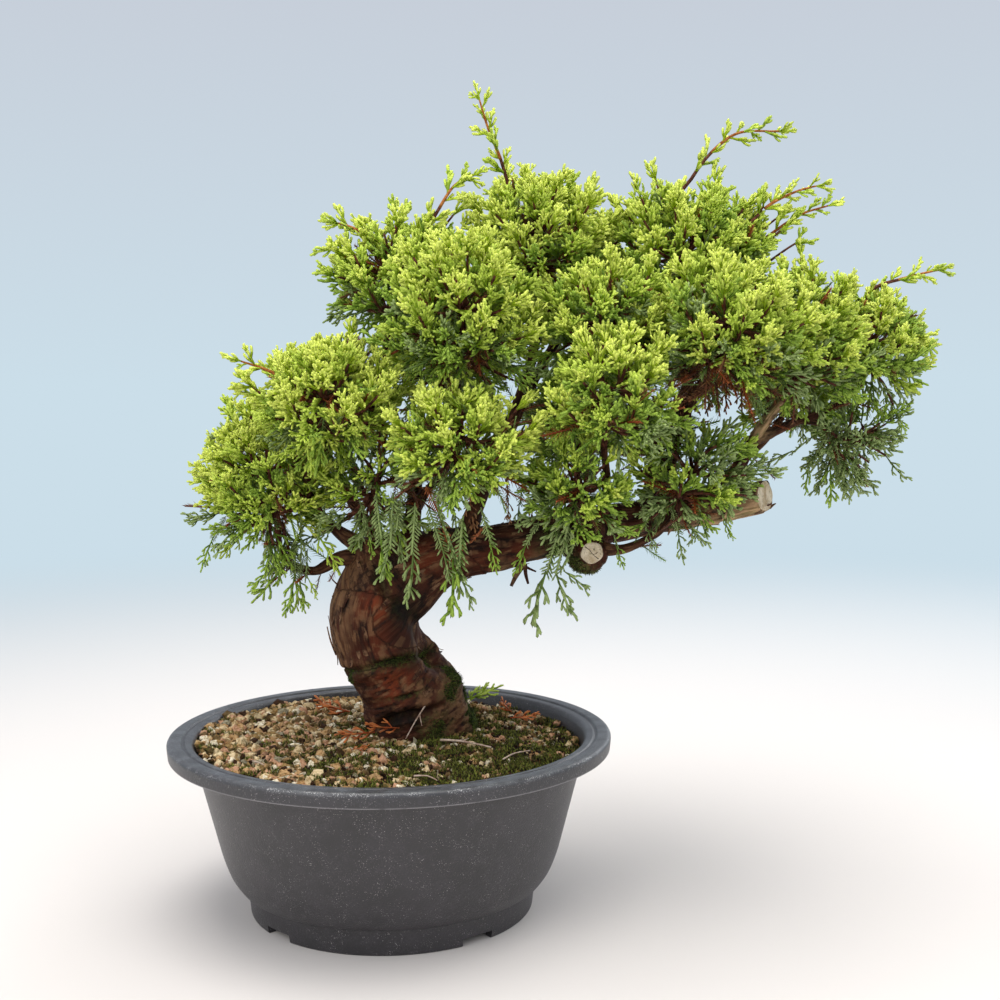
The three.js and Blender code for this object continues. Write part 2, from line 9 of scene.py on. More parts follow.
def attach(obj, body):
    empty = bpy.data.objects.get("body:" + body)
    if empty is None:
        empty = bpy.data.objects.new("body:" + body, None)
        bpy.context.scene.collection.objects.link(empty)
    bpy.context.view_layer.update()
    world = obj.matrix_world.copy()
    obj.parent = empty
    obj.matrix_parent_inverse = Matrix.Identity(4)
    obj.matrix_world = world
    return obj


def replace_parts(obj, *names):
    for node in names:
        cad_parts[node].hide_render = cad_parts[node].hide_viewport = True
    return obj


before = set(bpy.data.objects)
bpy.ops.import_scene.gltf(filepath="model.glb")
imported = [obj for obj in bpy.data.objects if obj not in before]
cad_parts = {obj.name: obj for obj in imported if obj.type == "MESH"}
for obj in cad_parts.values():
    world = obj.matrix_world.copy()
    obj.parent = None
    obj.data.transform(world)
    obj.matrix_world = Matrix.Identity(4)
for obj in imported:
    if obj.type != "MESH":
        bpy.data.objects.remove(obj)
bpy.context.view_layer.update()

# The pot
# One moulding of charcoal plastic with a stepped rim, a rounded lip and a notched foot ring. The lip is
# scuffed pale where pots knock together, a thin flash line runs under it, and the wall carries fine
# pale specks.
MM = 0.001
POT_SEGMENTS = 192
# Radius, height and rounding in mm, from the underside out and up over the lip, then down to the floor
POT_CORNERS = (
    (14, 0, 1.0), (14, 11, 1.0), (66, 11, 1.0), (66, 0, 0.8), (70.5, 0, 1.2), (72, 13, 0.5),
    (75.5, 14, 1.4), (80, 20, 3.0), (83.6, 29, 6.0), (96.9, 80.4, 0.5), (108.6, 80.4, 0.4),
    (109.3, 80.6, 0.2), (109.4, 81.5, 0.2), (110, 87.7, 2.4), (103.2, 87.7, 0.5), (102.6, 86.7, 0.3),
    (101.6, 86.7, 0.3), (101.0, 87.3, 0.4), (98.0, 87.0, 1.0), (96.6, 85.2, 1.0), (93.8, 76.7, 3.0),
    (81.0, 27, 5.0), (77.4, 20.5, 2.0), (72.5, 15.6, 2.0),
)
# Bearings of the foot ring's notches in degrees, and the notch's size in mm
FOOT_NOTCHES = (40, 130, 220, 304)
NOTCH_SIZE = (20, 17, 8)
FOOT_RADIUS = 70.5


def colour(code):
    """The scene's linear colour for a six-figure screen colour"""
    screen = [int(code[i:i + 2], 16) / 255 for i in (0, 2, 4)]
    return [c / 12.92 if c <= 0.04045 else ((c + 0.055) / 1.055) ** 2.4 for c in screen] + [1.0]


def add_node(tree, kind, inputs=None, **options):
    """Adds a shader node. Each input takes a plain value or another node's output."""
    node = tree.nodes.new(kind)
    for option, value in options.items():
        setattr(node, option, value)
    for socket, value in (inputs or {}).items():
        if isinstance(value, bpy.types.NodeSocket):
            tree.links.new(value, node.inputs[socket])
        else:
            node.inputs[socket].default_value = value
    return node


def mottle_group():
    """Soft random patches of a given size. The mask starts at the noise value Low and is full at High."""
    group = bpy.data.node_groups.new("mottle", "ShaderNodeTree")
    group.interface.new_socket("Vector", in_out="INPUT", socket_type="NodeSocketVector")
    for name, value in (("Size", 0.01), ("Low", 0.4), ("High", 0.6)):
        group.interface.new_socket(name, in_out="INPUT", socket_type="NodeSocketFloat").default_value = value
    group.interface.new_socket("Mask", in_out="OUTPUT", socket_type="NodeSocketFloat")
    given = group.nodes.new("NodeGroupInput").outputs
    scale = add_node(group, "ShaderNodeMath", {0: 1.0, 1: given["Size"]}, operation="DIVIDE")
    texture = add_node(group, "ShaderNodeTexNoise", {
        "Vector": given["Vector"], "Scale": scale.outputs[0], "Detail": 3.0, "Roughness": 0.55,
    })
    mask = add_node(group, "ShaderNodeMapRange", {
        "Value": texture.outputs[0], "From Min": given["Low"], "From Max": given["High"],
    }, interpolation_type="SMOOTHSTEP")
    group.links.new(mask.outputs[0], group.nodes.new("NodeGroupOutput").inputs["Mask"])
    return group


MOTTLE = mottle_group()


def mottle(tree, vector, size, low, high):
    """The mask of the mottle effect, for one size of patch in mm"""
    inputs = {"Vector": vector, "Size": size * MM, "Low": low, "High": high}
    return add_node(tree, "ShaderNodeGroup", inputs, node_tree=MOTTLE).outputs["Mask"]


def mix_colour(tree, mask, first, second):
    """The first colour where the mask is 0, the second where it is 1"""
    return add_node(tree, "ShaderNodeMix", {0: mask, 6: first, 7: second}, data_type="RGBA").outputs[2]


def layered(tree, base, *layers):
    """The base colour with further colours laid over it, each where its mask is full"""
    for mask, code in layers:
        base = mix_colour(tree, mask, base, colour(code))
    return base


def painted(tree, name):
    """How strongly a mark that is stored in the mesh covers the surface"""
    return add_node(tree, "ShaderNodeAttribute", attribute_name=name).outputs["Fac"]


def times(tree, first, second):
    """Two masks multiplied"""
    return add_node(tree, "ShaderNodeMath", {0: first, 1: second}, operation="MULTIPLY").outputs[0]


def new_material(name, roughness, specular=0.5):
    """A node material, its tree, its Principled shader and the object's own coordinates"""
    material = bpy.data.materials.new(name)
    material.use_nodes = True
    tree = material.node_tree
    shader = tree.nodes["Principled BSDF"]
    shader.inputs["Roughness"].default_value = roughness
    shader.inputs["Specular IOR Level"].default_value = specular
    place = tree.nodes.new("ShaderNodeTexCoord").outputs["Object"]
    return material, tree, shader, place


def finish_material(tree, shader, base, height=None, depth=0.1):
    """Feeds the shader's colour, and a bump whose full height stands depth mm proud."""
    tree.links.new(base, shader.inputs["Base Color"])
    if height is not None:
        bump = add_node(tree, "ShaderNodeBump", {"Height": height, "Distance": depth * MM})
        tree.links.new(bump.outputs[0], shader.inputs["Normal"])


def rounded_profile(corners, steps=5):
    """Points along an outline whose corners are rounded, in metres"""
    points = []
    for i, (radius, height, rounding) in enumerate(corners):
        here = np.array((radius, height), float)
        before = np.array(corners[max(i - 1, 0)][:2]) - here
        after = np.array(corners[min(i + 1, len(corners) - 1)][:2]) - here
        if i in (0, len(corners) - 1):
            points.append(here)
            continue
        start = here + before / np.linalg.norm(before) * min(rounding, np.linalg.norm(before) * 0.45)
        end = here + after / np.linalg.norm(after) * min(rounding, np.linalg.norm(after) * 0.45)
        for t in np.linspace(0, 1, steps):
            points.append((1 - t) ** 2 * start + 2 * t * (1 - t) * here + t ** 2 * end)
    return np.array(points) * MM


def closed_tube(rings):
    """Corners and faces that join rings of corners into a closed tube, with a middle corner at each end"""
    rings = np.asarray(rings)
    count, sides = rings.shape[:2]
    corners = np.concatenate([rings.reshape(-1, 3), rings[:1].mean(1), rings[-1:].mean(1)])
    here = np.arange(sides)
    ahead = (here + 1) % sides
    faces = []
    for low in range(0, (count - 1) * sides, sides):
        faces += zip(low + here, low + ahead, low + sides + ahead, low + sides + here)
    first, last = count * sides, count * sides + 1
    top = (count - 1) * sides
    faces += [(first, k, j) for j, k in zip(here, ahead)]
    faces += [(last, top + j, top + k) for j, k in zip(here, ahead)]
    return corners, [tuple(int(i) for i in face) for face in faces]


def turned(profile, segments):
    """Rings of corners for a profile of radius and height turned about Z"""
    angle = np.linspace(0, 2 * math.pi, segments, endpoint=False)
    radius, height = profile[:, :1], profile[:, 1:]
    return np.stack([radius * np.cos(angle), radius * np.sin(angle), height + 0 * angle], axis=-1)


def make_piece(name, corners, faces, materials, slots=None, sharp=None):
    """One smooth object from corners and faces. Slots deals its materials out by face."""
    mesh = bpy.data.meshes.new(name)
    mesh.from_pydata(corners, [], faces)
    for material in materials:
        mesh.materials.append(material)
    if slots is not None:
        mesh.polygons.foreach_set("material_index", np.asarray(slots, np.int32))
    mesh.shade_smooth()
    if sharp is not None:
        mesh.set_sharp_from_angle(angle=math.radians(sharp))
    piece = bpy.data.objects.new(name, mesh)
    bpy.context.scene.collection.objects.link(piece)
    return piece


def baked(piece):
    """Gives a piece the mesh that its modifiers make, and drops them."""
    depsgraph = bpy.context.evaluated_depsgraph_get()
    piece.data = bpy.data.meshes.new_from_object(piece.evaluated_get(depsgraph))
    piece.modifiers.clear()
    return piece


def pot_plastic():
    """Charcoal plastic with grime, rubbed patches, dust, pale specks, a flash line, a scuffed edge, and a
    top painted pale and bluish, partly dust and partly a painted sky reflection
    """
    material, tree, shader, place = new_material("pot_plastic", roughness=0.42, specular=0.8)
    base = mix_colour(tree, mottle(tree, place, 26, 0.35, 0.75), colour("19171B"), colour("242126"))
    rubbed = times(tree, mottle(tree, place, 5, 0.45, 0.75), mottle(tree, place, 0.9, 0.4, 0.6))
    # The rim's top, paler and bluish: partly settled dust, partly a painted sky reflection
    top_dust_and_sheen = times(tree, painted(tree, "dusty"), mottle(tree, place, 8, 0.2, 1.1))
    dust = times(tree, mottle(tree, place, 0.8, 0.5, 0.62), mottle(tree, place, 16, 0.4, 0.6))
    speck = times(tree, mottle(tree, place, 0.5, 0.64, 0.68), mottle(tree, place, 6, 0.4, 0.6))
    seam = times(tree, painted(tree, "seam"), mottle(tree, place, 9, 0.2, 0.5))
    fleck = times(tree, mottle(tree, place, 0.5, 0.52, 0.62), mottle(tree, place, 9, 0.4, 0.6))
    scuff = times(tree, painted(tree, "scuffed"), fleck)
    base = layered(
        tree, base, (rubbed, "2E2B30"), (top_dust_and_sheen, "6C7074"), (dust, "2F2C31"), (speck, "A8A3A2"),
        (seam, "8C888A"), (scuff, "C4C1C0"))
    finish_material(tree, shader, base, mottle(tree, place, 0.9, 0.25, 0.75), 0.09)
    return material


def cut_notches(piece):
    """Cuts the drainage notches out of the foot ring."""
    for bearing in FOOT_NOTCHES:
        bpy.ops.mesh.primitive_cube_add(size=1)
        cutter = bpy.context.object
        cutter.scale = [side * MM for side in NOTCH_SIZE]
        angle = math.radians(bearing)
        cutter.rotation_euler = (0, 0, angle)
        cutter.location = (FOOT_RADIUS * MM * math.cos(angle), FOOT_RADIUS * MM * math.sin(angle), 0)
        notch = piece.modifiers.new("notch", "BOOLEAN")
        notch.object = cutter
        notch.solver = "EXACT"
    cutters = [modifier.object for modifier in piece.modifiers]
    baked(piece)
    for cutter in cutters:
        bpy.data.objects.remove(cutter)


pot_profile = rounded_profile(POT_CORNERS)
pot = make_piece("training_pot", *closed_tube(turned(pot_profile, POT_SEGMENTS)), [pot_plastic()])
cut_notches(pot)
# Radius and height in mm of the lip's scuffed upper edge and of the flash line under it, how far each
# mark fades, and the height over which the top is painted pale and bluish, partly settled dust and
# partly a painted reflection of the sky
LIP_EDGE = (109.3, 87.0)
EDGE_FADE = 1.1
LIP_SEAM = (109.0, 80.6)
SEAM_FADE = 0.6
DUST_AND_SHEEN_LEVEL = 86.2
DUST_AND_SHEEN_DEPTH = 1.2
corners = np.array([vertex.co for vertex in pot.data.vertices]) / MM
outline = np.stack([np.hypot(corners[:, 0], corners[:, 1]), corners[:, 2]], axis=-1)
wear = {
    "scuffed": 1 - np.linalg.norm(outline - LIP_EDGE, axis=1) / EDGE_FADE,
    "seam": 1.2 - np.linalg.norm(outline - LIP_SEAM, axis=1) / SEAM_FADE,
    "dusty": (outline[:, 1] - DUST_AND_SHEEN_LEVEL) / DUST_AND_SHEEN_DEPTH,
}
for name, strength in wear.items():
    layer = pot.data.attributes.new(name, "FLOAT", "POINT")
    layer.data.foreach_set("value", np.clip(strength, 0, 1))
pot.data.set_sharp_from_angle(angle=math.radians(50))
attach(pot, "root")
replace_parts(pot, "pot")

# The soil
# Loose pumice and fired clay grains of 2 to 6 mm over dark humus, with moss among them. The bed is a
# closed body that fills the pot, darker than humus alone as painted shade in the gaps between grains.
# The grains lie on it, heaped higher at the left than at the right.
GOLDEN_ANGLE = math.pi * (3 - math.sqrt(5))
# The surface: its radius, its level at the trunk, how far it falls and slopes from there to the edge,
# the radius of its level middle, and the mounds' height and spacing, in mm
SOIL_EDGE = 94.2
SOIL_LEVEL = 83.2
SOIL_FALL = 0.4
SOIL_SLOPE = (-0.033, -0.004)
SOIL_FLAT_RADIUS = 54
MOUND_HEIGHT = 1.2
MOUND_SPACING = 40
# Radius and height in mm of the pot's inner wall up to the soil, and how fast it flares at the surface
INNER_WALL = ((72.2, 16), (77.0, 21), (80.6, 27.5), (SOIL_EDGE - 0.9, 76))
WALL_FLARE = 0.3
BED_DEPTH = 1.3
BED_SEGMENTS = 96
BED_RINGS = 46
GRAIN_COUNT = 8000
# Half the size in mm of the smallest grains, how much more the largest have, and the same for crumbs
GRAIN_SIZE = 0.85
GRAIN_SPREAD = 1.7
CRUMB_COUNT = 5600
CRUMB_SIZES = (0.4, 1.1)
MOSS_SPIKES = 26000
MOSS_HEIGHTS = (0.8, 2.4)
GRAIN_COLOURS = ("DEC69C", "C09A6C", "9C7E50", "C89A7A", "6A5434", "3C2410", "F0E4CA", "989078")
GRAIN_SHARES = (0.21, 0.19, 0.15, 0.12, 0.1, 0.09, 0.1, 0.04)
CRUMB_COLOURS = ("2C1A0C", "4A2D16", "8A6A40")
CRUMB_SHARES = (0.5, 0.32, 0.18)
MOSS_COLOURS = ("464A18", "6A6E28", "8E9440")
MOSS_START = 0.52
# The trunk's foot, where no grain lies
FOOT_MIDDLE = (14, 19)
FOOT_REACH = 25


def soil_height(x, y):
    """The soil's level at a place, in mm: flat where the trunk stands, then sloping out in low mounds"""
    share = np.clip((np.hypot(x, y) - SOIL_FLAT_RADIUS) / (SOIL_EDGE - SOIL_FLAT_RADIUS), 0, 1)
    slope = SOIL_SLOPE[0] * x + SOIL_SLOPE[1] * y - SOIL_FALL
    turn = 2 * math.pi / MOUND_SPACING
    mound = MOUND_HEIGHT * np.sin(turn * x + 1) * np.cos(turn * y)
    return SOIL_LEVEL + share * slope + np.minimum(1, 2 * share) * mound


def soil_rings():
    """The bed's skin: up the pot's inner wall from its floor, then in over the surface"""
    rings = list(turned(np.array(INNER_WALL) * MM, BED_SEGMENTS))
    angle = np.linspace(0, 2 * math.pi, BED_SEGMENTS, endpoint=False)
    for radius in np.linspace(SOIL_EDGE + 0.6, 2, BED_RINGS):
        x, y = radius * np.cos(angle), radius * np.sin(angle)
        rings.append(np.stack([x, y, soil_height(x, y) - BED_DEPTH], axis=-1) * MM)
    return rings


def scattered(count, reach, random):
    """Places spread evenly over a disc, as seeds sit on a flower head, each nudged a little"""
    order = np.arange(count) + 0.5
    radius = reach * np.sqrt(order / count)
    angle = order * GOLDEN_ANGLE
    nudge = random.normal(0, 0.35, (2, count))
    return radius * np.cos(angle) + nudge[0], radius * np.sin(angle) + nudge[1]


# A grain starts as a body of 12 corners and 20 faces, and a spike of moss has 4 faces
GRAIN_FACES = 20
SPIKE_FACES = 4
ICOSAHEDRON_SPREAD = (1 + math.sqrt(5)) / 2
ICOSAHEDRON = np.array([
    (s, t * ICOSAHEDRON_SPREAD, 0) for s in (-1, 1) for t in (1, -1)] + [
    (0, s, t * ICOSAHEDRON_SPREAD) for s in (-1, 1) for t in (1, -1)] + [
    (t * ICOSAHEDRON_SPREAD, 0, s) for s in (-1, 1) for t in (1, -1)]) / math.hypot(1, ICOSAHEDRON_SPREAD)


def hull_faces(points):
    """The triangles of a convex body's skin, facing out"""
    faces = []
    for i in range(len(points)):
        for j in range(i + 1, len(points)):
            for k in range(j + 1, len(points)):
                normal = np.cross(points[j] - points[i], points[k] - points[i])
                side = (points - points[i]) @ normal
                if (side < 1e-6).all():
                    faces.append((i, j, k))
                elif (side > -1e-6).all():
                    faces.append((i, k, j))
    return np.array(faces)


def random_turns(count, random):
    """Rotations spread evenly over all directions, as matrices"""
    q = random.normal(size=(count, 4))
    w, x, y, z = (q / np.linalg.norm(q, axis=1, keepdims=True)).T
    return np.stack([
        1 - 2 * (y * y + z * z), 2 * (x * y - z * w), 2 * (x * z + y * w),
        2 * (x * y + z * w), 1 - 2 * (x * x + z * z), 2 * (y * z - x * w),
        2 * (x * z - y * w), 2 * (y * z + x * w), 1 - 2 * (x * x + y * y),
    ], axis=1).reshape(-1, 3, 3)


def strewn_bodies(places, sizes, roughness, random):
    """Corners and faces of many angular bodies with their middles at the places"""
    count = len(places)
    faces = hull_faces(ICOSAHEDRON)
    shape = ICOSAHEDRON * random.uniform(1 - roughness, 1 + roughness, (count, len(ICOSAHEDRON), 1))
    shape = shape * random.uniform(0.45, 1.2, (count, 1, 3)) * np.reshape(sizes, (-1, 1, 1))
    corners = np.einsum("nij,nkj->nki", random_turns(count, random), shape) + places[:, None]
    skins = faces[None] + len(ICOSAHEDRON) * np.arange(count)[:, None, None]
    return corners.reshape(-1, 3), skins.reshape(-1, 3)


def soil_places(count, random, lift):
    """Places on the soil, in metres, that keep off the trunk's foot and spread out to the flaring wall"""
    x, y = scattered(count, SOIL_EDGE - 0.8, random)
    clear = np.hypot(x - FOOT_MIDDLE[0], y - FOOT_MIDDLE[1]) > FOOT_REACH
    x, y = x[clear], y[clear]
    z = soil_height(x, y)
    spread = 1 + WALL_FLARE * np.clip(z - 78, -1, 8) / SOIL_EDGE * (np.hypot(x, y) / SOIL_EDGE) ** 6
    return np.stack([x * spread, y * spread, z + random.uniform(*lift, len(x))], axis=-1) * MM


def noise_at(places, size, offset=0.0, stretch=1.0):
    """Smooth noise from -1 to 1 at places in mm, stretched along the third coordinate"""
    scaled = places / (size, size, size * stretch) + offset
    return np.array([noise.noise(Vector(place)) for place in scaled])


def litter_share(places):
    """How much humus and moss lies in place of bare grains: more at the front, the right and the foot"""
    x, y = places[:, 0] / MM, places[:, 1] / MM
    flat = np.stack([x, y, 0 * x], axis=-1)
    near_foot = np.exp(-((np.hypot(x - FOOT_MIDDLE[0], y - FOOT_MIDDLE[1]) - FOOT_REACH) / 9) ** 2)
    patchy = 0.6 + 1.0 * noise_at(flat, 13, 4.0) + 0.5 * noise_at(flat, 5, 9.0)
    return patchy + 0.26 * np.clip(x / 50, -1, 1) - 0.32 * np.clip(y / 60, -1, 1) + 0.3 * near_foot


def grain_material(name, code):
    """Fired clay or pumice, darker in its pores and stained in patches"""
    material, tree, shader, place = new_material(name, roughness=0.92, specular=0.25)
    red, green, blue = colour(code)[:3]
    darker = (0.5 * red, 0.42 * green, 0.3 * blue, 1.0)
    base = mix_colour(tree, mottle(tree, place, 1.6, 0.3, 0.6), darker, colour(code))
    stain = times(tree, mottle(tree, place, 7, 0.5, 0.66), mottle(tree, place, 1.8, 0.35, 0.6))
    base = mix_colour(tree, stain, base, colour("4C4420"))
    finish_material(tree, shader, base, mottle(tree, place, 0.7, 0.25, 0.75), 0.25)
    return material


def spikes(roots, headings, heights, thickness):
    """Corners and faces of closed three-sided spikes that stand on their roots, in mm"""
    along = headings / np.linalg.norm(headings, axis=1, keepdims=True)
    across = np.cross(along, (0.31, 0.2, 1.0))
    across /= np.linalg.norm(across, axis=1, keepdims=True)
    facing = np.cross(along, across)
    turn = np.arange(3)[None, :, None] * 2 * math.pi / 3
    ring = np.cos(turn) * across[:, None] + np.sin(turn) * facing[:, None]
    base = roots[:, None] + ring * thickness / 2
    tips = roots + along * heights[:, None]
    corners = np.concatenate([base, tips[:, None]], axis=1).reshape(-1, 3) * MM
    skin = np.array([(0, 2, 1), (0, 1, 3), (1, 2, 3), (2, 0, 3)])
    return corners, (skin[None] + 4 * np.arange(len(roots))[:, None, None]).reshape(-1, 3)


def shaded(code, share):
    """The share of a colour that is left in its darker parts"""
    return [c * share for c in colour(code)[:3]] + [1.0]


def two_tone(name, first, second, size, roughness, specular, grain, depth):
    """A material mottled from its first colour to its second, with a fine bump"""
    material, tree, shader, place = new_material(name, roughness, specular)
    base = mix_colour(tree, mottle(tree, place, size, 0.35, 0.65), first, second)
    finish_material(tree, shader, base, mottle(tree, place, grain, 0.3, 0.7), depth)
    return material


def moss_materials(name, codes):
    """Moss in several greens"""
    return [two_tone(f"{name}_{i}", shaded(code, 0.45), colour(code), 3, 0.8, 0.2, 0.5, 0.15)
            for i, code in enumerate(codes)]


soil_random = np.random.default_rng(11)
# The bed's near-black brown is humus and also painted shade between the grains
bed = make_piece("soil_bed", *closed_tube(soil_rings()), [grain_material("humus", "2A1A0C")])
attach(bed, "root")
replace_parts(bed, "soil")

grain_places = soil_places(GRAIN_COUNT, soil_random, (-1.6, 0.5))
bare = litter_share(grain_places) < soil_random.uniform(0.25, 1.25, len(grain_places))
grain_places = grain_places[bare]
grain_sizes = GRAIN_SIZE + GRAIN_SPREAD * soil_random.random(len(grain_places)) ** 2
grain_sizes *= 1.15 - 0.25 * np.clip(grain_places[:, 0] / 0.06, -1, 1)
corners, faces = strewn_bodies(grain_places, grain_sizes * MM, 0.27, soil_random)
grain_shares = np.array(GRAIN_SHARES) / sum(GRAIN_SHARES)
dealt = soil_random.choice(len(GRAIN_COLOURS), len(grain_places), p=grain_shares)
grain_kinds = [grain_material(f"grain_{i}", code) for i, code in enumerate(GRAIN_COLOURS)]
grains = make_piece("soil_grains", corners, faces, grain_kinds, np.repeat(dealt, GRAIN_FACES), sharp=25)
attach(grains, "root")

crumb_places = soil_places(CRUMB_COUNT, soil_random, (-0.9, 0.7))
covered = litter_share(crumb_places) > soil_random.uniform(-0.1, 1.0, len(crumb_places))
crumb_places = crumb_places[covered]
crumb_sizes = soil_random.uniform(*CRUMB_SIZES, len(crumb_places))
corners, faces = strewn_bodies(crumb_places, crumb_sizes * MM, 0.3, soil_random)
crumb_kinds = [grain_material(f"crumb_{i}", code) for i, code in enumerate(CRUMB_COLOURS)]
crumb_slots = soil_random.choice(len(CRUMB_COLOURS), len(crumb_places), p=CRUMB_SHARES)
crumb_slots = np.repeat(crumb_slots, GRAIN_FACES)
crumbs = make_piece("soil_crumbs", corners, faces, crumb_kinds, crumb_slots)
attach(crumbs, "root")

moss_places = soil_places(MOSS_SPIKES, soil_random, (0.1, 0.9))
flat = moss_places / MM * (1, 1, 0)
mossy = noise_at(flat, 8, 21.0) + 0.4 * noise_at(flat, 3, 5.0) + 0.7 * litter_share(moss_places)
moss_places = moss_places[mossy > MOSS_START]
leaning = soil_random.normal(0, 0.5, moss_places.shape) + (0, 0, 1)
moss_heights = soil_random.uniform(*MOSS_HEIGHTS, len(moss_places))
corners, faces = spikes(moss_places / MM, leaning, moss_heights, 0.65)
moss_slots = np.repeat(soil_random.integers(0, len(MOSS_COLOURS), len(moss_places)), SPIKE_FACES)
soil_moss = make_piece("soil_moss", corners, faces, moss_materials("soil_moss", MOSS_COLOURS), moss_slots)
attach(soil_moss, "root")

# The trunk and the main limb
# Old juniper wood under red-brown bark that peels in long strips. The trunk leans left, folds over
# itself low down and bends into the level limb, whose sawn ends are pale. Creases, hollows and lumps
# are worked into the mesh.

# The routes that the bark's skin is drawn over: x, y, z and radius in mm
TRUNK_ROUTE = (
    (15, 21, 74, 30), (14, 19, 88, 26.5), (9, 15, 106, 25), (-1, 11, 123, 22), (-7, 8, 139, 20.6),
    (-7, 6, 155, 20.4), (2, 5, 168, 18.5), (20, 3, 175, 13.4),
)
MAIN_LIMB_ROUTE = (
    (6, 4, 171, 13.6), (26, 2, 176, 13), (43, 0, 178, 11.6), (60, -3, 181, 10.8), (82, -6, 186, 10.4),
    (104, -6, 190, 9.8), (130, -4, 194, 9), (158, 0, 197, 8.2), (191, 4, 203, 7.6), (196, 4.5, 204, 7.7),
)
KNOT_ROUTE = ((91, -7, 187, 10), (95, -18, 182, 10.5), (96.3, -28, 179.4, 7), (96.6, -33, 179.2, 5.6))
SHOULDER_ROUTE = ((0, 4, 165, 14), (-10, 0, 176, 7.5), (-13, -2, 181, 4))
FORK_ROUTE = ((2, 4, 147, 12), (13, 3, 157, 10.8), (25, 1, 167, 8), (38, 0, 173, 7))
BARK_VOXEL = 0.75
# Depth of the root lobes as a share of the trunk's radius, and how fast they die out up the trunk
ROOT_LOBE_DEPTH = 0.1
ROOT_LOBE_FADE = 2.6
# Length in mm of the collar at a bough's root, and how much wider than the bough it starts
COLLAR_LENGTH = 12
COLLAR_SWELL = 1.35
# Folds pressed into the trunk and limb: the places they run through, their depth, width, moss and
# darkness, the last a painted shade laid into the fold
CREASES = (
    (
        (
            (-26, 10, 116), (-21.6, 6, 117), (-13.9, -4, 120.4), (-2.5, -10, 123.7), (7.3, -10, 125),
            (17.4, -5, 127.8), (22, 2, 129), (24, 14, 130),
        ),
        5.0, 2.4, 0.75, 1.0,
    ),
    (
        (
            (-6, -1, 89), (-3.9, -4, 91.5), (0.7, -8, 95.3), (7.1, -10, 97.2), (17, -10, 98.6),
            (24.5, -8, 101),
        ),
        5.5, 2.6, 0.1, 1.0,
    ),
    (
        ((-16, -2, 103), (-2.2, -9, 105), (12.1, -10, 108), (24.5, -7, 112), (34, 2, 112)), 1.6, 1.2, 0.5,
        0.6,
    ),
    (((1.9, -12, 117.3), (8, -12, 112), (14.6, -10, 113.3), (28.8, -3, 117)), 1.5, 1.1, 0.5, 0.6),
    (((-9, -12, 180), (-6, -14, 170), (-2, -15, 160), (3, -14, 150), (12, -10, 140)), 4.0, 3.0, 0.2, 0.9),
    (((6, -14, 152), (12, -9, 144), (17, -2, 137)), 3.4, 4.6, 0.1, 0.9),
    (((-19, -8, 176), (-19, -10, 163), (-22, -9, 149)), 1.0, 1.1, 0.0, 0.5),
    (((-13, -12, 176), (-14, -15, 163), (-13, -14, 152)), 0.9, 1.0, 0.0, 0.5),
    (((26, -8, 90), (36, 0, 92), (40, 14, 94)), 1.4, 1.3, 0.6, 0.4),
    (((-20, -2, 108), (-12, -8, 108.5), (-6, -9, 110)), 1.2, 0.9, 0.0, 0.6),
    (((20, -8, 121), (24, -6, 114), (31, -2, 110)), 1.1, 0.9, 0.3, 0.5),
    (((-24, -4, 158), (-26, -2, 146), (-24, -5, 136)), 0.9, 0.9, 0.0, 0.6),
    (
        ((34, -14, 171), (40, -15, 174.5), (58, -17, 181), (70, -18, 181.5), (83, -18, 184)), 2.2, 1.3,
        0.0, 0.9,
    ),
)
# Places where the trunk stands proud of its route or falls short of it, with reach and height
SWELLS = (
    ((-10, -12, 148), 18, 1.6), ((-28, 2, 138), 16, 2.2), ((34, 2, 112), 11, 2.4),
    ((26, 2, 129), 11, -13.5), ((32, -3, 161), 11, 1.5), ((56, -8, 168), 12, 1.6),
    ((99, -24, 174), 9, 3.0), ((2, -10, 103), 8, 1.6), ((20, -10, 107), 8, 1.4), ((90, -20, 173), 8, 2.0),
    ((186, 2, 201), 6, 1.0),
)
# What the bark is like in places, with the reach and strength of each. The hollow patches are painted shade,
# near black where recesses lie in shadow.
BARK_PATCHES = {
    "moss": (
        ((36, 4, 115), 9, 1.0), ((25, 0, 127), 7, 1.0), ((41, 12, 104), 7, 0.9), ((20, 2, 141), 4, 0.5),
        ((-22, 3, 113), 6, 0.9), ((30, -3, 107), 7, 0.8), ((92, -24, 171), 9, 1.0),
        ((88, -22, 184), 8, 0.7), ((24, -8, 88), 10, 0.7), ((41, 14, 90), 9, 0.8),
        ((80, -14, 184), 9, 0.6), ((192, 4, 209), 6, 0.35),
    ),
    "weathered": (
        ((-28, 0, 150), 15, 1.0), ((-28, 2, 132), 12, 0.8), ((-24, -4, 170), 13, 0.8),
        ((34, 0, 104), 12, 0.7), ((40, 10, 92), 12, 0.8), ((30, -8, 88), 12, 0.6),
        ((180, 2, 204), 12, 0.5),
    ),
    "rusty": (
        ((-6, -15, 152), 9, 1.0), ((-4, -12, 134), 8, 0.4), ((1, -12, 113), 10, 0.9),
        ((18, -12, 174), 10, 0.6), ((50, -14, 172), 9, 0.5), ((66, -14, 175), 8, 0.5),
        ((-8, -8, 108), 8, 0.4),
    ),
    "stripped": (
        ((148, -4, 184), 9, 0.8), ((160, -4, 187), 10, 1.0), ((172, -3, 190), 10, 1.0),
        ((185, 0, 194), 11, 1.0), ((192, 2, 198), 9, 1.0), ((56, -12, 168), 7, 0.45),
        ((74, -12, 171), 7, 0.45),
    ),
    # Painted shade: the recesses listed here are darkened to near black
    "hollow": (
        ((8, -12, 150), 11, 1.0), ((15, -8, 143), 10, 1.0), ((4, -13, 136), 9, 0.5),
        ((0, -10, 93), 8, 1.0), ((10, -12, 95), 7, 0.9), ((10, -14, 128), 8, 0.5),
        ((2, -14, 174), 8, 0.7), ((45, 6, 86), 7, 0.8), ((84, -16, 178), 8, 0.8),
        ((74, -12, 186), 8, 0.6),
    ),
}
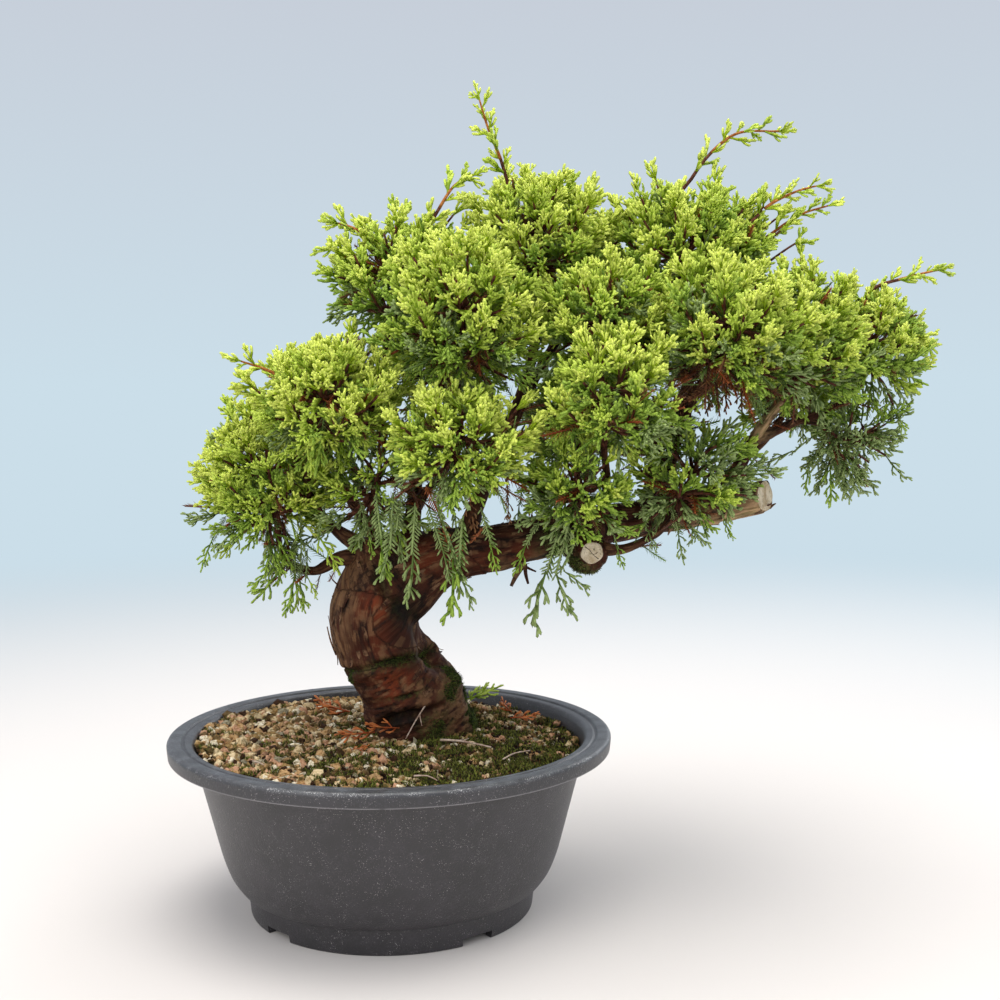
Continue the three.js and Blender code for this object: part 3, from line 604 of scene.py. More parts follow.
# Middle, direction, half width and half height of the sawn faces, and the cracks in them, across and up
# in mm
SAWN_FACES = (
    ((190.4, 3.8, 203.0), (0.77, -0.63, 0.1), 8.6, 7.5, ()),
    (
        (96.7, -31.6, 179.5), (0.1, -0.97, -0.1), 5.6, 5.0,
        (((-3.7, 3.2), (-1.2, 1.4), (0.3, -0.6), (3.2, -3.0)), ((0.3, -0.6), (1.6, -0.4), (2.6, 0.5))),
    ),
    ((51.8, -46, 235.6), (-0.1, -0.98, 0.15), 2.5, 2.5, ()),
    ((143.3, -26, 243.3), (0.1, -0.5, 0.85), 1.8, 1.8, ()),
)
# Smooth parts of the bark, with reach and the share of the relief taken off
SMOOTH_PARTS = (((-8, -8, 148), 24, 0.7), ((52, -10, 174), 22, 0.45), ((2, -10, 108), 9, 0.4))
# The fold's height in mm and its rise along x: the grain runs round the trunk below it and up above it
FOLD_LEVEL = 123
FOLD_RISE = 0.27
# How far each limb's grain is shifted from the last one's, in mm
GRAIN_SHIFT = 90


def smooth_route(stations, step=1.5):
    """Points and radii along a smooth curve through stations of x, y, z and radius, about a step apart"""
    rows = np.array(stations, float)
    rows = np.vstack([2 * rows[0] - rows[1], rows, 2 * rows[-1] - rows[-2]])
    samples = []
    for i in range(1, len(rows) - 2):
        p0, p1, p2, p3 = rows[i - 1:i + 3, :3]
        d0, d1, d2 = (math.sqrt(np.linalg.norm(b - a)) for a, b in ((p0, p1), (p1, p2), (p2, p3)))
        leave = ((p1 - p0) / d0 - (p2 - p0) / (d0 + d1) + (p2 - p1) / d1) * d1
        arrive = ((p2 - p1) / d1 - (p3 - p1) / (d1 + d2) + (p3 - p2) / d2) * d1
        count = max(2, round(np.linalg.norm(p2 - p1) / step))
        for t in np.arange(count) / count:
            place = (2 * t ** 3 - 3 * t ** 2 + 1) * p1 + (t ** 3 - 2 * t ** 2 + t) * leave
            place += (3 * t ** 2 - 2 * t ** 3) * p2 + (t ** 3 - t ** 2) * arrive
            samples.append((*place, rows[i, 3] + t * (rows[i + 1, 3] - rows[i, 3])))
    samples.append(tuple(rows[-2]))
    samples = np.array(samples)
    return samples[:, :3], samples[:, 3]


def unit(vectors):
    """The directions of vectors"""
    return vectors / np.linalg.norm(vectors, axis=-1, keepdims=True)


def carried_frames(points):
    """Along, across and facing directions at each point of a route, with as little twist as can be"""
    along = unit(np.gradient(points, axis=0))
    across = [unit(np.cross(along[0], (0.0, 1.0, 0.0) if abs(along[0][1]) < 0.9 else (1.0, 0.0, 0.0)))]
    for direction in along[1:]:
        kept = across[-1] - direction * (across[-1] @ direction)
        across.append(unit(kept))
    across = np.array(across)
    return along, across, np.cross(along, across)


def limb_rings(points, radii, sides, shape=None):
    """Rings of corners round a route. Shape multiplies the radius at a share of the length and an angle."""
    _, across, facing = carried_frames(points)
    angle = np.linspace(0, 2 * math.pi, sides, endpoint=False)
    share = np.linspace(0, 1, len(points))[:, None]
    radius = radii[:, None] * (1 if shape is None else shape(share, angle[None]))
    radius = np.broadcast_to(radius, (len(points), sides))[..., None]
    ring = np.cos(angle)[None, :, None] * across[:, None] + np.sin(angle)[None, :, None] * facing[:, None]
    return points[:, None] + radius * ring


def root_lobes(share, angle):
    """The foot of the trunk spreads into root lobes that die out up the trunk."""
    near_foot = np.clip(1 - ROOT_LOBE_FADE * share, 0, 1) ** 2
    return 1 + near_foot * ROOT_LOBE_DEPTH * (np.cos(4 * angle + 0.6) + np.cos(7 * angle) / 2)


def merged(bodies):
    """Corners and faces of several bodies in one list of each"""
    corners, faces, count = [], [], 0
    for body_corners, body_faces in bodies:
        corners.append(np.asarray(body_corners))
        faces += [tuple(int(i) + count for i in face) for face in body_faces]
        count += len(body_corners)
    return np.concatenate(corners), faces


def grown_together(name, routes, voxel):
    """One skin over limbs that run into each other, softened where they meet"""
    bodies = [closed_tube(limb_rings(*smooth_route(stations), 40, shape) * MM) for stations, shape in routes]
    piece = make_piece(name, *merged(bodies), [])
    skin = piece.modifiers.new("skin", "REMESH")
    skin.mode = "VOXEL"
    skin.voxel_size = voxel * MM
    soften = piece.modifiers.new("soften", "SMOOTH")
    soften.factor = 0.5
    soften.iterations = 9
    return baked(piece)


def search_tree(points):
    """A tree that finds the nearest of the points"""
    tree = kdtree.KDTree(len(points))
    for i, point in enumerate(points):
        tree.insert(point, i)
    tree.balance()
    return tree


def limb_coordinates(places, routes):
    """For each place in mm: where it lies round and along its nearest limb, and which way that limb runs"""
    samples = [smooth_route(stations) for stations, _ in routes]
    points = np.concatenate([route for route, _ in samples])
    radii = np.concatenate([radii for _, radii in samples])
    frames = [carried_frames(route) for route, _ in samples]
    along, across, facing = (np.concatenate(directions) for directions in zip(*frames))
    length = np.concatenate([
        np.cumsum(np.r_[0, np.linalg.norm(np.diff(route, axis=0), axis=1)]) + GRAIN_SHIFT * i
        for i, (route, _) in enumerate(samples)])
    tree = search_tree(points)
    nearest = np.array([tree.find(place)[1] for place in places])
    out = places - points[nearest]
    angle = np.arctan2((out * facing[nearest]).sum(1), (out * across[nearest]).sum(1))
    girth = np.maximum(radii[nearest], 4)
    grain = np.stack([girth * np.cos(angle), girth * np.sin(angle), length[nearest]], axis=-1)
    return grain, along[nearest]


def nearness(places, line, width):
    """1 on a line through the given places, fading to 0 a few widths away"""
    route, _ = smooth_route([(*place, 1) for place in line], step=1.0)
    tree = search_tree(route)
    distance = np.array([tree.find(place)[2] for place in places])
    return np.exp(-(distance / width) ** 2)


def patches_at(places, patches):
    """How strongly any of the patches covers each place, with ragged edges"""
    cover = np.zeros(len(places))
    ragged = 0.25 * noise_at(places, 4, 2.0)
    for middle, reach, strength in patches:
        distance = np.linalg.norm(places - np.array(middle), axis=1)
        cover = np.maximum(cover, strength * np.clip(1.35 - distance / reach + ragged, 0, 1))
    return cover


def work_bark(piece, routes, strength, creases=(), swells=(), patches=None):
    """Moves the skin in and out for lumps, plates, fibres and folds, and stores the marks on the bark, among
    them the painted shade of hollows and folds.
    """
    mesh = piece.data
    count = len(mesh.vertices)
    places = np.empty(count * 3)
    mesh.vertices.foreach_get("co", places)
    places = places.reshape(-1, 3) / MM
    normals = np.empty(count * 3)
    mesh.vertex_normals.foreach_get("vector", normals)
    normals = normals.reshape(-1, 3)
    grain, along = limb_coordinates(places, routes)
    below_fold = places[:, 2] < FOLD_LEVEL + FOLD_RISE * places[:, 0]
    wrapped = np.stack([0.2 * grain[:, 0], 0.2 * grain[:, 1], 5 * grain[:, 2] - 1.6 * places[:, 0]], axis=-1)
    grain = np.where(below_fold[:, None], wrapped, grain)
    plates = noise_at(grain, 5.5, 7.0, 5.0)
    fibres = noise_at(grain, 1.7, 5.0, 9.0)
    flakes = np.clip(noise_at(grain, 7, 11.0, 2.2) * 6, -1, 1)
    cracks = np.clip(1 - np.abs(plates) * 6, 0, 1)
    relief = 0.9 * noise_at(places, 15, 3.0) + 0.3 * plates + 0.3 * flakes - 0.5 * cracks + 0.16 * fibres
    for middle, reach, share in SMOOTH_PARTS:
        relief *= 1 - share * np.exp(-(np.linalg.norm(places - np.array(middle), axis=1) / reach) ** 2)
    relief *= strength
    cover = {name: patches_at(places, spots) for name, spots in (patches or BARE_BARK).items()}
    for line, depth, width, mossy, dark in creases:
        close = nearness(places, line, width)
        relief += 0.55 * depth * (nearness(places, line, width * 2.3) - close) - depth * close
        cover["moss"] = np.maximum(cover["moss"], mossy * nearness(places, line, width * 1.3))
        # The crease's darkness adds painted shade along it
        cover["hollow"] = np.maximum(cover["hollow"], dark * nearness(places, line, width * 0.9))
    for middle, reach, height in swells:
        distance = np.linalg.norm(places - np.array(middle), axis=1)
        relief += height * np.exp(-(distance / reach) ** 2)
    for middle, direction, width, _, _ in SAWN_FACES:
        past = (places - np.array(middle)) @ unit(np.array(direction))
        near = np.linalg.norm(places - np.array(middle), axis=1) < 2.2 * width
        relief = np.where(near & (past > -0.8), 0, relief)
        cut = np.where(near, np.maximum(past, 0), 0)
        places = places - cut[:, None] * unit(np.array(direction))
    moved = (places + normals * relief[:, None]) * MM
    mesh.vertices.foreach_set("co", moved.ravel())
    mesh.attributes.new("grain", "FLOAT_VECTOR", "POINT").data.foreach_set("vector", (grain * MM).ravel())
    cover["cracks"] = cracks
    for name, values in cover.items():
        mesh.attributes.new(name, "FLOAT", "POINT").data.foreach_set("value", np.clip(values, 0, 1))
    mesh.update()
    return moved / MM, normals, along, cover["moss"]


def plates_group():
    """The seams between plates of bark of a given size. The mask is gone at Width from a seam."""
    group = bpy.data.node_groups.new("plates", "ShaderNodeTree")
    group.interface.new_socket("Vector", in_out="INPUT", socket_type="NodeSocketVector")
    for name, value in (("Size", 5.0), ("Width", 0.1)):
        group.interface.new_socket(name, in_out="INPUT", socket_type="NodeSocketFloat").default_value = value
    group.interface.new_socket("Mask", in_out="OUTPUT", socket_type="NodeSocketFloat")
    given = group.nodes.new("NodeGroupInput").outputs
    scale = add_node(group, "ShaderNodeMath", {0: 1.0, 1: given["Size"]}, operation="DIVIDE")
    wander = add_node(group, "ShaderNodeTexNoise", {"Vector": given["Vector"], "Scale": 0.6, "Detail": 3.0})
    moved = add_node(group, "ShaderNodeVectorMath", {
        0: wander.outputs["Color"], 1: (3, 3, 3), 2: given["Vector"]}, operation="MULTIPLY_ADD")
    cells = add_node(group, "ShaderNodeTexVoronoi", {
        "Vector": moved.outputs["Vector"], "Scale": scale.outputs[0]}, feature="DISTANCE_TO_EDGE")
    seam = add_node(group, "ShaderNodeMapRange", {
        "Value": cells.outputs["Distance"], "From Max": given["Width"], "To Min": 1.0, "To Max": 0.0})
    group.links.new(seam.outputs[0], group.nodes.new("NodeGroupOutput").inputs["Mask"])
    return group


PLATES = plates_group()


def plate_seams(tree, vector, size, width):
    """A mask that is full on the seams between plates of the size, in mm, and gone at the width from them"""
    inputs = {"Vector": vector, "Size": size, "Width": width / size}
    return add_node(tree, "ShaderNodeGroup", inputs, node_tree=PLATES).outputs["Mask"]


BARE_BARK = {name: () for name in BARK_PATCHES}


def bark_material(name, tint="421F12", grey_share=0.0):
    """Bark of the given tint, with plates, fibres and seams, and the marks painted over it, painted shade in
    hollows and folds among them
    """
    material, tree, shader, place = new_material(name, roughness=0.75, specular=0.16)
    grain = add_node(tree, "ShaderNodeAttribute", attribute_name="grain").outputs["Vector"]
    strips = add_node(tree, "ShaderNodeMapping", {"Vector": grain, "Scale": (1.0, 1.0, 0.16)}).outputs[0]
    rusty = times(tree, painted(tree, "rusty"), mottle(tree, strips, 6, 0.25, 0.6))
    grey = mottle(tree, strips, 3.0, 0.54 - grey_share, 0.78 - grey_share)
    streaks = times(tree, painted(tree, "weathered"), mottle(tree, strips, 2.4, 0.32, 0.6))
    bare_wood = mix_colour(tree, mottle(tree, strips, 2.0, 0.4, 0.6), colour("C09C74"), colour("8C7C50"))
    cracks = times(tree, painted(tree, "cracks"), mottle(tree, place, 5, 0.3, 0.55))
    fibres = mottle(tree, strips, 1.2, 0.62, 0.78)
    peeling = mottle(tree, place, 7, 0.42, 0.58)
    rims = times(tree, plate_seams(tree, strips, 5.5, 1.0), mottle(tree, strips, 2, 0.45, 0.6))
    seams = times(tree, plate_seams(tree, strips, 5.5, 0.4), peeling)
    base = mix_colour(tree, mottle(tree, place, 14, 0.4, 0.65), colour(tint), colour("33160B"))
    base = layered(tree, base, (rusty, "743218"), (grey, "5A3925"), (streaks, "8A6848"))
    base = mix_colour(tree, painted(tree, "stripped"), base, bare_wood)
    # The hollow mark paints shade near black over the bark
    base = layered(
        tree, base, (cracks, "1A0D08"), (fibres, "200F09"), (times(tree, rims, peeling), "7E5A3E"),
        (seams, "120905"), (painted(tree, "hollow"), "0C0604"))
    moss = mix_colour(tree, mottle(tree, place, 1.4, 0.35, 0.65), colour("20260E"), colour("4E5828"))
    mossy = times(tree, painted(tree, "moss"), mottle(tree, place, 2.4, 0.36, 0.56))
    base = mix_colour(tree, mossy, base, moss)
    ridges = mottle(tree, strips, 1.1, 0.2, 0.8)
    relief = add_node(tree, "ShaderNodeMath", {0: ridges, 1: seams}, operation="SUBTRACT")
    finish_material(tree, shader, base, relief.outputs[0], 0.4)
    return material


def collar_route(stations):
    """The swollen root of a bough, where it leaves the limb that carries it"""
    points, radii = smooth_route(stations, 1.5)
    along = np.r_[0, np.cumsum(np.linalg.norm(np.diff(points, axis=0), axis=1))]
    near = along < COLLAR_LENGTH
    swell = COLLAR_SWELL - (COLLAR_SWELL - 0.8) * along[near] / COLLAR_LENGTH
    return [(*point, radius) for point, radius in zip(points[near], radii[near] * swell)][::4]


# The boughs' routes, each from its root to its tip as x, y, z and radius in mm. Those named next have a
# collar.
BOUGH_ROUTES = {
    "left_low": (
        (-6, 5, 172, 8), (-24, 4, 174, 4.5), (-37, 4, 168, 3.2), (-47, 2, 171, 2.8), (-54, 0, 181, 2.4),
    ),
    "left_middle": (
        (-8, 4, 176, 6), (-27, 4, 189, 3.6), (-38, -3, 203, 3), (-38, -17, 224, 2.6),
        (-33, -26, 236, 2.2),
    ),
    "left_inner": ((-2, 2, 178, 4), (-6, -5, 190, 3), (-8, -9, 197, 2.4)),
    "rising": (
        (10, 5, 170, 7), (12, 6, 195, 4.8), (15, 4, 220, 4.1), (30, -4, 248, 3.3), (35, -16, 268, 2.7),
    ),
    "left_top": ((14, 4, 212, 3.6), (5, 6, 238, 3.1), (-1, 5, 264, 2.6), (-1, 5, 280, 2.2)),
    "front_left": ((13, 5, 200, 3.4), (20, -18, 211, 2.8), (27, -38, 221, 2.4)),
    "back_middle": ((14, 5, 216, 3.8), (20, 28, 238, 3.2), (28, 50, 256, 2.5)),
    "back_left": ((-2, 10, 174, 6), (-16, 28, 196, 4), (-28, 46, 216, 3), (-33, 54, 227, 2.4)),
    "crown": (
        (36, 2, 177, 7), (45, 8, 203, 4.8), (60, 12, 237, 4.2), (73, 12, 275, 3.5), (77, 11, 306, 2.8),
    ),
    "back_top": ((60, 12, 237, 4), (78, 36, 266, 3.2), (94, 55, 288, 2.5)),
    "low_middle": ((84, -6, 187, 4), (89, -24, 199, 2.8), (91, -34, 205, 2.3)),
    "front_middle": ((105, -6, 189, 4.5), (104, -28, 211, 3), (100, -46, 231, 2.4)),
    "back_low": ((96, -5, 188, 5), (98, 24, 206, 3.4), (100, 42, 221, 2.7)),
    "low_right": ((97, -20, 181, 4.5), (112, -31, 181, 3), (127, -32, 188, 2.6), (138, -30, 199, 2.3)),
    "right": ((137, -3, 194, 5.4), (139, -6, 222, 4.3), (146, -14, 247, 3.6), (152, -24, 262, 3)),
    "right_inner": ((138, -6, 214, 3.6), (124, -20, 240, 3), (113, -31, 262, 2.4)),
    "right_top": ((145, -13, 242, 3.6), (148, -4, 272, 3), (144, 1, 300, 2.4)),
    "back_right": ((128, -4, 194, 5), (140, 26, 226, 4), (157, 46, 254, 3.2), (163, 52, 264, 2.6)),
    "far": ((166, 1, 198, 5.4), (174, 0, 215, 4.5), (184, -5, 236, 4), (194, -12, 252, 3.4)),
    "far_right": ((182, -4, 232, 3.5), (205, 5, 240, 3.1), (228, 8, 248, 2.8), (240, 7, 258, 2.4)),
    "far_low": ((209, 6, 241.5, 2.6), (221, 12, 239, 2.2), (226, 14, 235, 2)),
    "far_back": ((158, 0, 197, 4.6), (180, 24, 216, 3.5), (203, 42, 233, 2.9), (211, 48, 241, 2.4)),
}
COLLARED_BOUGHS = (
    "left_low", "left_middle", "rising", "front_left", "back_left", "crown", "front_middle", "back_low",
    "right", "back_right", "far", "far_back",
)
old_wood_routes = [
    (TRUNK_ROUTE, root_lobes), (MAIN_LIMB_ROUTE, None), (KNOT_ROUTE, None), (SHOULDER_ROUTE, None),
    (FORK_ROUTE, None),
]
old_wood_routes += [(collar_route(BOUGH_ROUTES[name]), None) for name in COLLARED_BOUGHS]
old_wood = grown_together("trunk_and_main_limb", old_wood_routes, BARK_VOXEL)
bark_places, bark_normals, bark_along, bark_moss = work_bark(
    old_wood, old_wood_routes, 1.0, CREASES, SWELLS, BARK_PATCHES)
old_wood.data.materials.append(bark_material("old_bark"))
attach(old_wood, "root")
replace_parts(old_wood, "trunk", "main_limb")


def sawn_wood():
    """Pale end grain, weathered in patches, with specks of dirt"""
    material, tree, shader, place = new_material("sawn_wood", roughness=0.7, specular=0.3)
    base = mix_colour(tree, mottle(tree, place, 5, 0.35, 0.65), colour("D8C8AE"), colour("AE9878"))
    weathered, specks = mottle(tree, place, 2, 0.6, 0.75), mottle(tree, place, 1, 0.66, 0.72)
    base = layered(tree, base, (weathered, "7D7A5C"), (specks, "5A4634"))
    finish_material(tree, shader, base, mottle(tree, place, 0.8, 0.3, 0.7), 0.2)
    return material


# Share of the sawn face's size and level in mm of each ring, from the back over the rim to the middle
SAWN_PROFILE = ((0.9, -1.6), (1.0, -1.0), (1.02, 0.0), (0.97, 0.35), (0.7, 0.5), (0.3, 0.6))


def sawn_face(middle, direction, width, height, cracks, random):
    """A thin uneven disc of bare wood, a little domed, over a sawn end, and the tubes of its cracks"""
    middle, direction = np.array(middle), unit(np.array(direction, float))
    across = unit(np.cross((0.0, 0.0, 1.0), direction))
    facing = np.cross(direction, across)
    angle = np.linspace(0, 2 * math.pi, 36, endpoint=False)
    wobble = 1 + 0.04 * np.sin(2 * angle + random.uniform(0, 6))
    wobble += 0.03 * np.sin(5 * angle + random.uniform(0, 6))
    out = width * np.cos(angle)[:, None] * across + height * np.sin(angle)[:, None] * facing
    rings = []
    for share, level in SAWN_PROFILE:
        rings.append(middle + out * (share * wobble)[:, None] + direction * level)
    tubes = []
    for line in cracks:
        places = [middle + a * across + b * facing + 0.45 * direction for a, b in line]
        route, radii = smooth_route([(*place, 0.22) for place in places], 0.8)
        tubes.append(closed_tube(limb_rings(route, radii, 5) * MM))
    return closed_tube(np.array(rings) * MM), tubes


def crack_material():
    """The dark inside of a drying crack"""
    material, tree, shader, place = new_material("wood_crack", roughness=0.9, specular=0.1)
    base = mix_colour(tree, mottle(tree, place, 1.5, 0.3, 0.7), colour("241810"), colour("4A3828"))
    finish_material(tree, shader, base)
    return material


sawn_random = np.random.default_rng(3)
sawn_bodies, crack_bodies = [], []
for face in SAWN_FACES:
    disc, tubes = sawn_face(*face, sawn_random)
    sawn_bodies.append(disc)
    crack_bodies += tubes
sawn_ends = make_piece("sawn_ends", *merged(sawn_bodies), [sawn_wood()], sharp=40)
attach(sawn_ends, "root")
sawn_cracks = make_piece("sawn_cracks", *merged(crack_bodies), [crack_material()])
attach(sawn_cracks, "root")

# Thin curls of bark that lift at one end. None starts this near the mossy knot, nor below this level,
# in mm
FLAKE_COUNT = 150
FLAKE_FREE = (94, 14)
FLAKE_LEVEL = 96
# Splinters that hang off: start, end and thickness in mm
SPLINTERS = (
    ((-26.9, 1, 126), (-31.2, 0, 140.5), 1.1), ((66, -10, 172), (59.5, -11, 161), 3.2),
    ((66.5, -10, 172), (68, -11, 162), 2.4), ((66, -10, 171), (72, -11, 168), 1.6),
    ((-24, -3, 172), (-27.5, -3, 177), 0.8), ((-26, -2, 162), (-29.5, -3, 167), 0.8),
)


def bark_flake(root, along, normal, length, width, lift):
    """A strip of bark that follows the grain and curls off the wood towards its end"""
    across = unit(np.cross(normal, along))
    rings = []
    for share in np.linspace(0, 1, 6):
        middle = root + along * length * (share - 0.4) + normal * (lift * share ** 2 - 0.15)
        half = width / 2 * (1 - 0.75 * share ** 3)
        sides = [across * half, across * half + normal * 0.3, -across * half + normal * 0.3, -across * half]
        rings.append([middle + side for side in sides])
    return closed_tube(np.array(rings) * MM)


flake_random = np.random.default_rng(17)
off_knot = np.abs(bark_places[:, 0] - FLAKE_FREE[0]) > FLAKE_FREE[1]
flaky = np.flatnonzero((bark_moss < 0.2) & (bark_places[:, 2] > FLAKE_LEVEL) & off_knot)
flake_bodies = []
for i in flake_random.choice(flaky, FLAKE_COUNT, replace=False):
    normal, way = bark_normals[i], bark_along[i]
    if bark_places[i][2] <= FOLD_LEVEL:
        way = unit(np.cross(normal, way))
    way = unit(way - normal * (way @ normal)) * flake_random.choice((-1, 1))
    length, width, lift = (flake_random.uniform(*span) for span in ((3, 9), (1.0, 2.6), (0.3, 1.5)))
    flake_bodies.append(bark_flake(bark_places[i], way, normal, length, width, lift))
for start, end, thickness in SPLINTERS:
    middle = 0.5 * (np.array(start) + end) + (-0.5, 0, 0)
    stations = [(*start, thickness / 2), (*middle, 0.42 * thickness), (*end, 0.26 * thickness)]
    flake_bodies.append(closed_tube(limb_rings(*smooth_route(stations, 2), 5) * MM))


def flake_material():
    """Thin loose bark, browner than what it peels from"""
    material, tree, shader, place = new_material("bark_flakes", roughness=0.8, specular=0.15)
    base = mix_colour(tree, mottle(tree, place, 9, 0.4, 0.6), colour("3A2015"), colour("7A5A42"))
    base = mix_colour(tree, mottle(tree, place, 1.2, 0.5, 0.7), base, colour("23120B"))
    finish_material(tree, shader, base, mottle(tree, place, 0.8, 0.3, 0.7), 0.15)
    return material


bark_flakes = make_piece("bark_flakes", *merged(flake_bodies), [flake_material()], sharp=40)
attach(bark_flakes, "root")

# Moss that stands on the bark. It is twice as long in the fold's lee, between two places along x, and
# paler on the knot, past a third place.
BARK_MOSS_SPIKES = 9000
BARK_MOSS_START = 0.45
FOLD_LEE = (22, 60)
KNOT_START = 70
BARK_MOSS_COLOURS = ("2C3812", "46561E", "64762A", "848A50")
moss_random = np.random.default_rng(23)
mossy = np.flatnonzero(bark_moss > BARK_MOSS_START)
mossy = moss_random.choice(mossy, min(BARK_MOSS_SPIKES, len(mossy)), replace=False)
leaning = bark_normals[mossy] + moss_random.normal(0, 0.45, (len(mossy), 3))
heights = moss_random.uniform(0.5, 1.9, len(mossy)) * (0.4 + 0.6 * bark_moss[mossy])
heights[(bark_places[mossy, 0] > FOLD_LEE[0]) & (bark_places[mossy, 0] < FOLD_LEE[1])] *= 2
corners, faces = spikes(bark_places[mossy] - 0.2 * bark_normals[mossy], leaning, heights, 0.6)
moss_tones = moss_random.integers(0, 3, len(mossy)) + (bark_places[mossy, 0] > KNOT_START)
bark_mosses = moss_materials("bark_moss", BARK_MOSS_COLOURS)
trunk_moss = make_piece("trunk_moss", corners, faces, bark_mosses, np.repeat(moss_tones, SPIKE_FACES))
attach(trunk_moss, "root")

# The boughs
# Thinner limbs of the same juniper, with grey-brown flaking bark. They fork off the old wood on swollen
# collars and rise into the crown, where each carries one or two masses of foliage.
BOUGH_SIDES = 14
BOUGH_STEP = 1.1

# The boughs' girth as a share of their solids', at the root, a third of the way out and at the tip
SLIMMING = ((0, 0.3, 1), (1.0, 0.8, 0.68))
# Where the bark is off a bough: place, reach and strength
STRIPPED_BOUGH = (((184, -8, 240), 9, 0.9), ((190, -10, 248), 8, 0.8))

# Side branches that were cut back: x, y, z and radius in mm, out to the cut
STUBS = (
    ((48, 8, 214, 2.5), (50, -20, 226, 2.5), (51.8, -46, 235.6, 2.5)),
    ((139, -6, 224, 1.9), (141.5, -21, 234, 1.7), (143.3, -26, 243.3, 1.7)),
)

bough_bodies = []
for stations in (*STUBS, *BOUGH_ROUTES.values()):
    places, radii = smooth_route(stations, BOUGH_STEP)
    if stations not in STUBS:
        radii = radii * np.interp(np.linspace(0, 1, len(radii)), *SLIMMING)
    bough_bodies.append(closed_tube(limb_rings(places, radii, BOUGH_SIDES) * MM))
boughs = make_piece("boughs", *merged(bough_bodies), [bark_material("young_bark", "402114", 0.08)])
work_bark(boughs, [(stations, None) for stations in BOUGH_ROUTES.values()], 0.5,
          patches={**BARE_BARK, "stripped": STRIPPED_BOUGH})
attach(boughs, "root")
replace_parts(boughs, *(f"bough_{name}" for name in BOUGH_ROUTES))

# The foliage
# Scale leaves pressed flat to their twiglets make round cords about 1.7 mm thick. Cords fork into
# sprays, sprays stand along plumes, and the plumes of one bough make a mass. Shaded sprays inside it
# are thin and grey, and some are dead. The greens also carry painted light and shade: a spray's tone
# is brighter high on a mass and in the sunnier masses, and deeper and greyer low down and in shaded ones.

# Middle of each mass and its reach along x, y and z, in mm
MASSES = {
    "left_low": ((-59, 0, 217), (37, 44, 46)),
    "left_middle": ((-28, -36, 254), (44, 41, 29)),
    "left_top": ((3, 6, 312), (37, 42, 35)),
    "left_inner": ((-6, -14, 212), (31, 33, 27)),
    "front_left": ((34, -60, 235), (41, 37, 30)),
    "front_top": ((34, -45, 294), (45, 42, 39)),
    "crown_top": ((76, 8, 334), (50, 44, 32)),
    "low_middle": ((90, -48, 212), (28, 30, 26)),
    "front_middle": ((102, -68, 257), (37, 36, 30)),
    "low_right": ((146, -30, 217), (36, 34, 25)),
    "right_inner": ((104, -34, 290), (40, 40, 36)),
    "right_front": ((160, -46, 286), (47, 43, 39)),
    "right_top": ((148, 2, 325), (40, 42, 33)),
    "far_middle": ((203, -18, 282), (35, 42, 38)),
    "far_right": ((244, 6, 281), (31, 42, 34)),
    "far_low": ((238, 15, 229), (27, 32, 28)),
    "back_left": ((-34, 62, 250), (42, 44, 33)),
    "back_middle": ((32, 68, 282), (44, 46, 38)),
    "back_top": ((102, 68, 312), (44, 46, 34)),
    "back_low": ((101, 64, 240), (42, 42, 29)),
    "back_right": ((168, 64, 288), (42, 42, 36)),
    "far_back": ((219, 56, 259), (36, 36, 31)),
}
# The boughs that carry a mass of another name
CARRIED_BY = {"front_top": "rising", "crown_top": "crown", "right_front": "right", "far_middle": "far"}
# Places in mm that the long shoots run through, from the mass's skin to the shoot's tip
SHOOTS = {
    "left_low": (((-84, -2, 214), (-98, 0, 212)),),
    "left_middle": (((-40, -34, 260), (-58, -32, 268), (-76, -30, 274)),),
    "left_top": (
        ((0, 8, 326), (-12, 9, 335), (-22, 10, 339), (-33, 10, 341)),
        ((-16, 2, 320), (-25, 1, 326), (-32, 0, 330)), ((5, 12, 338), (5, 14, 352)),
        ((22, -3, 339), (34, -2, 357), (50, -2, 365)),
    ),
    "crown_top": (
        ((65, 12, 347), (57, 11, 371), (50, 10, 388), (44, 10, 408)), ((98, 18, 352), (110, 22, 358)),
        ((60, 20, 352), (70, 26, 364)), ((86, 4, 352), (92, 2, 364)),
    ),
    "right_top": (
        ((142, 3, 348), (151, 3, 361), (158, 2, 371), (173, 1, 383), (203, 0, 385)),
        ((172, -4, 333), (189, -5, 348), (204, -6, 355), (220, -6, 359)),
    ),
    "far_middle": (((180, 0, 326), (188, 0, 332), (204, -5, 343), (226, -6, 350)),),
    "far_right": (((244, 6, 306), (262, 5, 313), (287, 4, 319)), ((266, 2, 284), (280, 2, 279))),
    "back_middle": (((20, 76, 312), (12, 82, 330)),),
    "back_top": (((112, 74, 338), (118, 78, 356)),),
    "back_right": (((176, 70, 316), (190, 76, 330)),),
    "far_back": (((236, 66, 276), (256, 74, 284)),),
}
# Tips in mm of further plumes, where the crown closes between two masses
BRIDGING_PLUMES = {
    "crown_top": ((112, 8, 338), (117, 10, 332)),
    "right_top": (
        (118, 8, 346), (133, 2, 360), (125, 2, 353), (183, -5, 327), (194, -5, 335), (178, 0, 339),
        (160, 2, 350), (176, -3, 346), (186, -3, 347), (192, -4, 341), (202, -4, 329), (163, 0, 358),
    ),
    "far_middle": ((204, -8, 322), (196, -10, 312)),
    "left_top": ((37, 6, 336), (33, 4, 343)),
    "front_left": ((28, -36, 212),),
    "low_middle": ((72, -28, 210), (66, -30, 214)),
    "left_low": ((-61, 0, 193), (-47, -3, 168)),
    "left_middle": ((-18, -20, 282), (6, -20, 258), (-8, -15, 277)),
    "left_inner": ((-35, 0, 187), (-26, 0, 191)),
    "low_right": ((124, -36, 196), (140, -40, 196), (158, -36, 200), (172, -30, 206)),
    "front_top": ((60, -20, 262),),
    "far_right": ((257, 6, 249),),
    "far_low": ((254, 8, 239),),
}
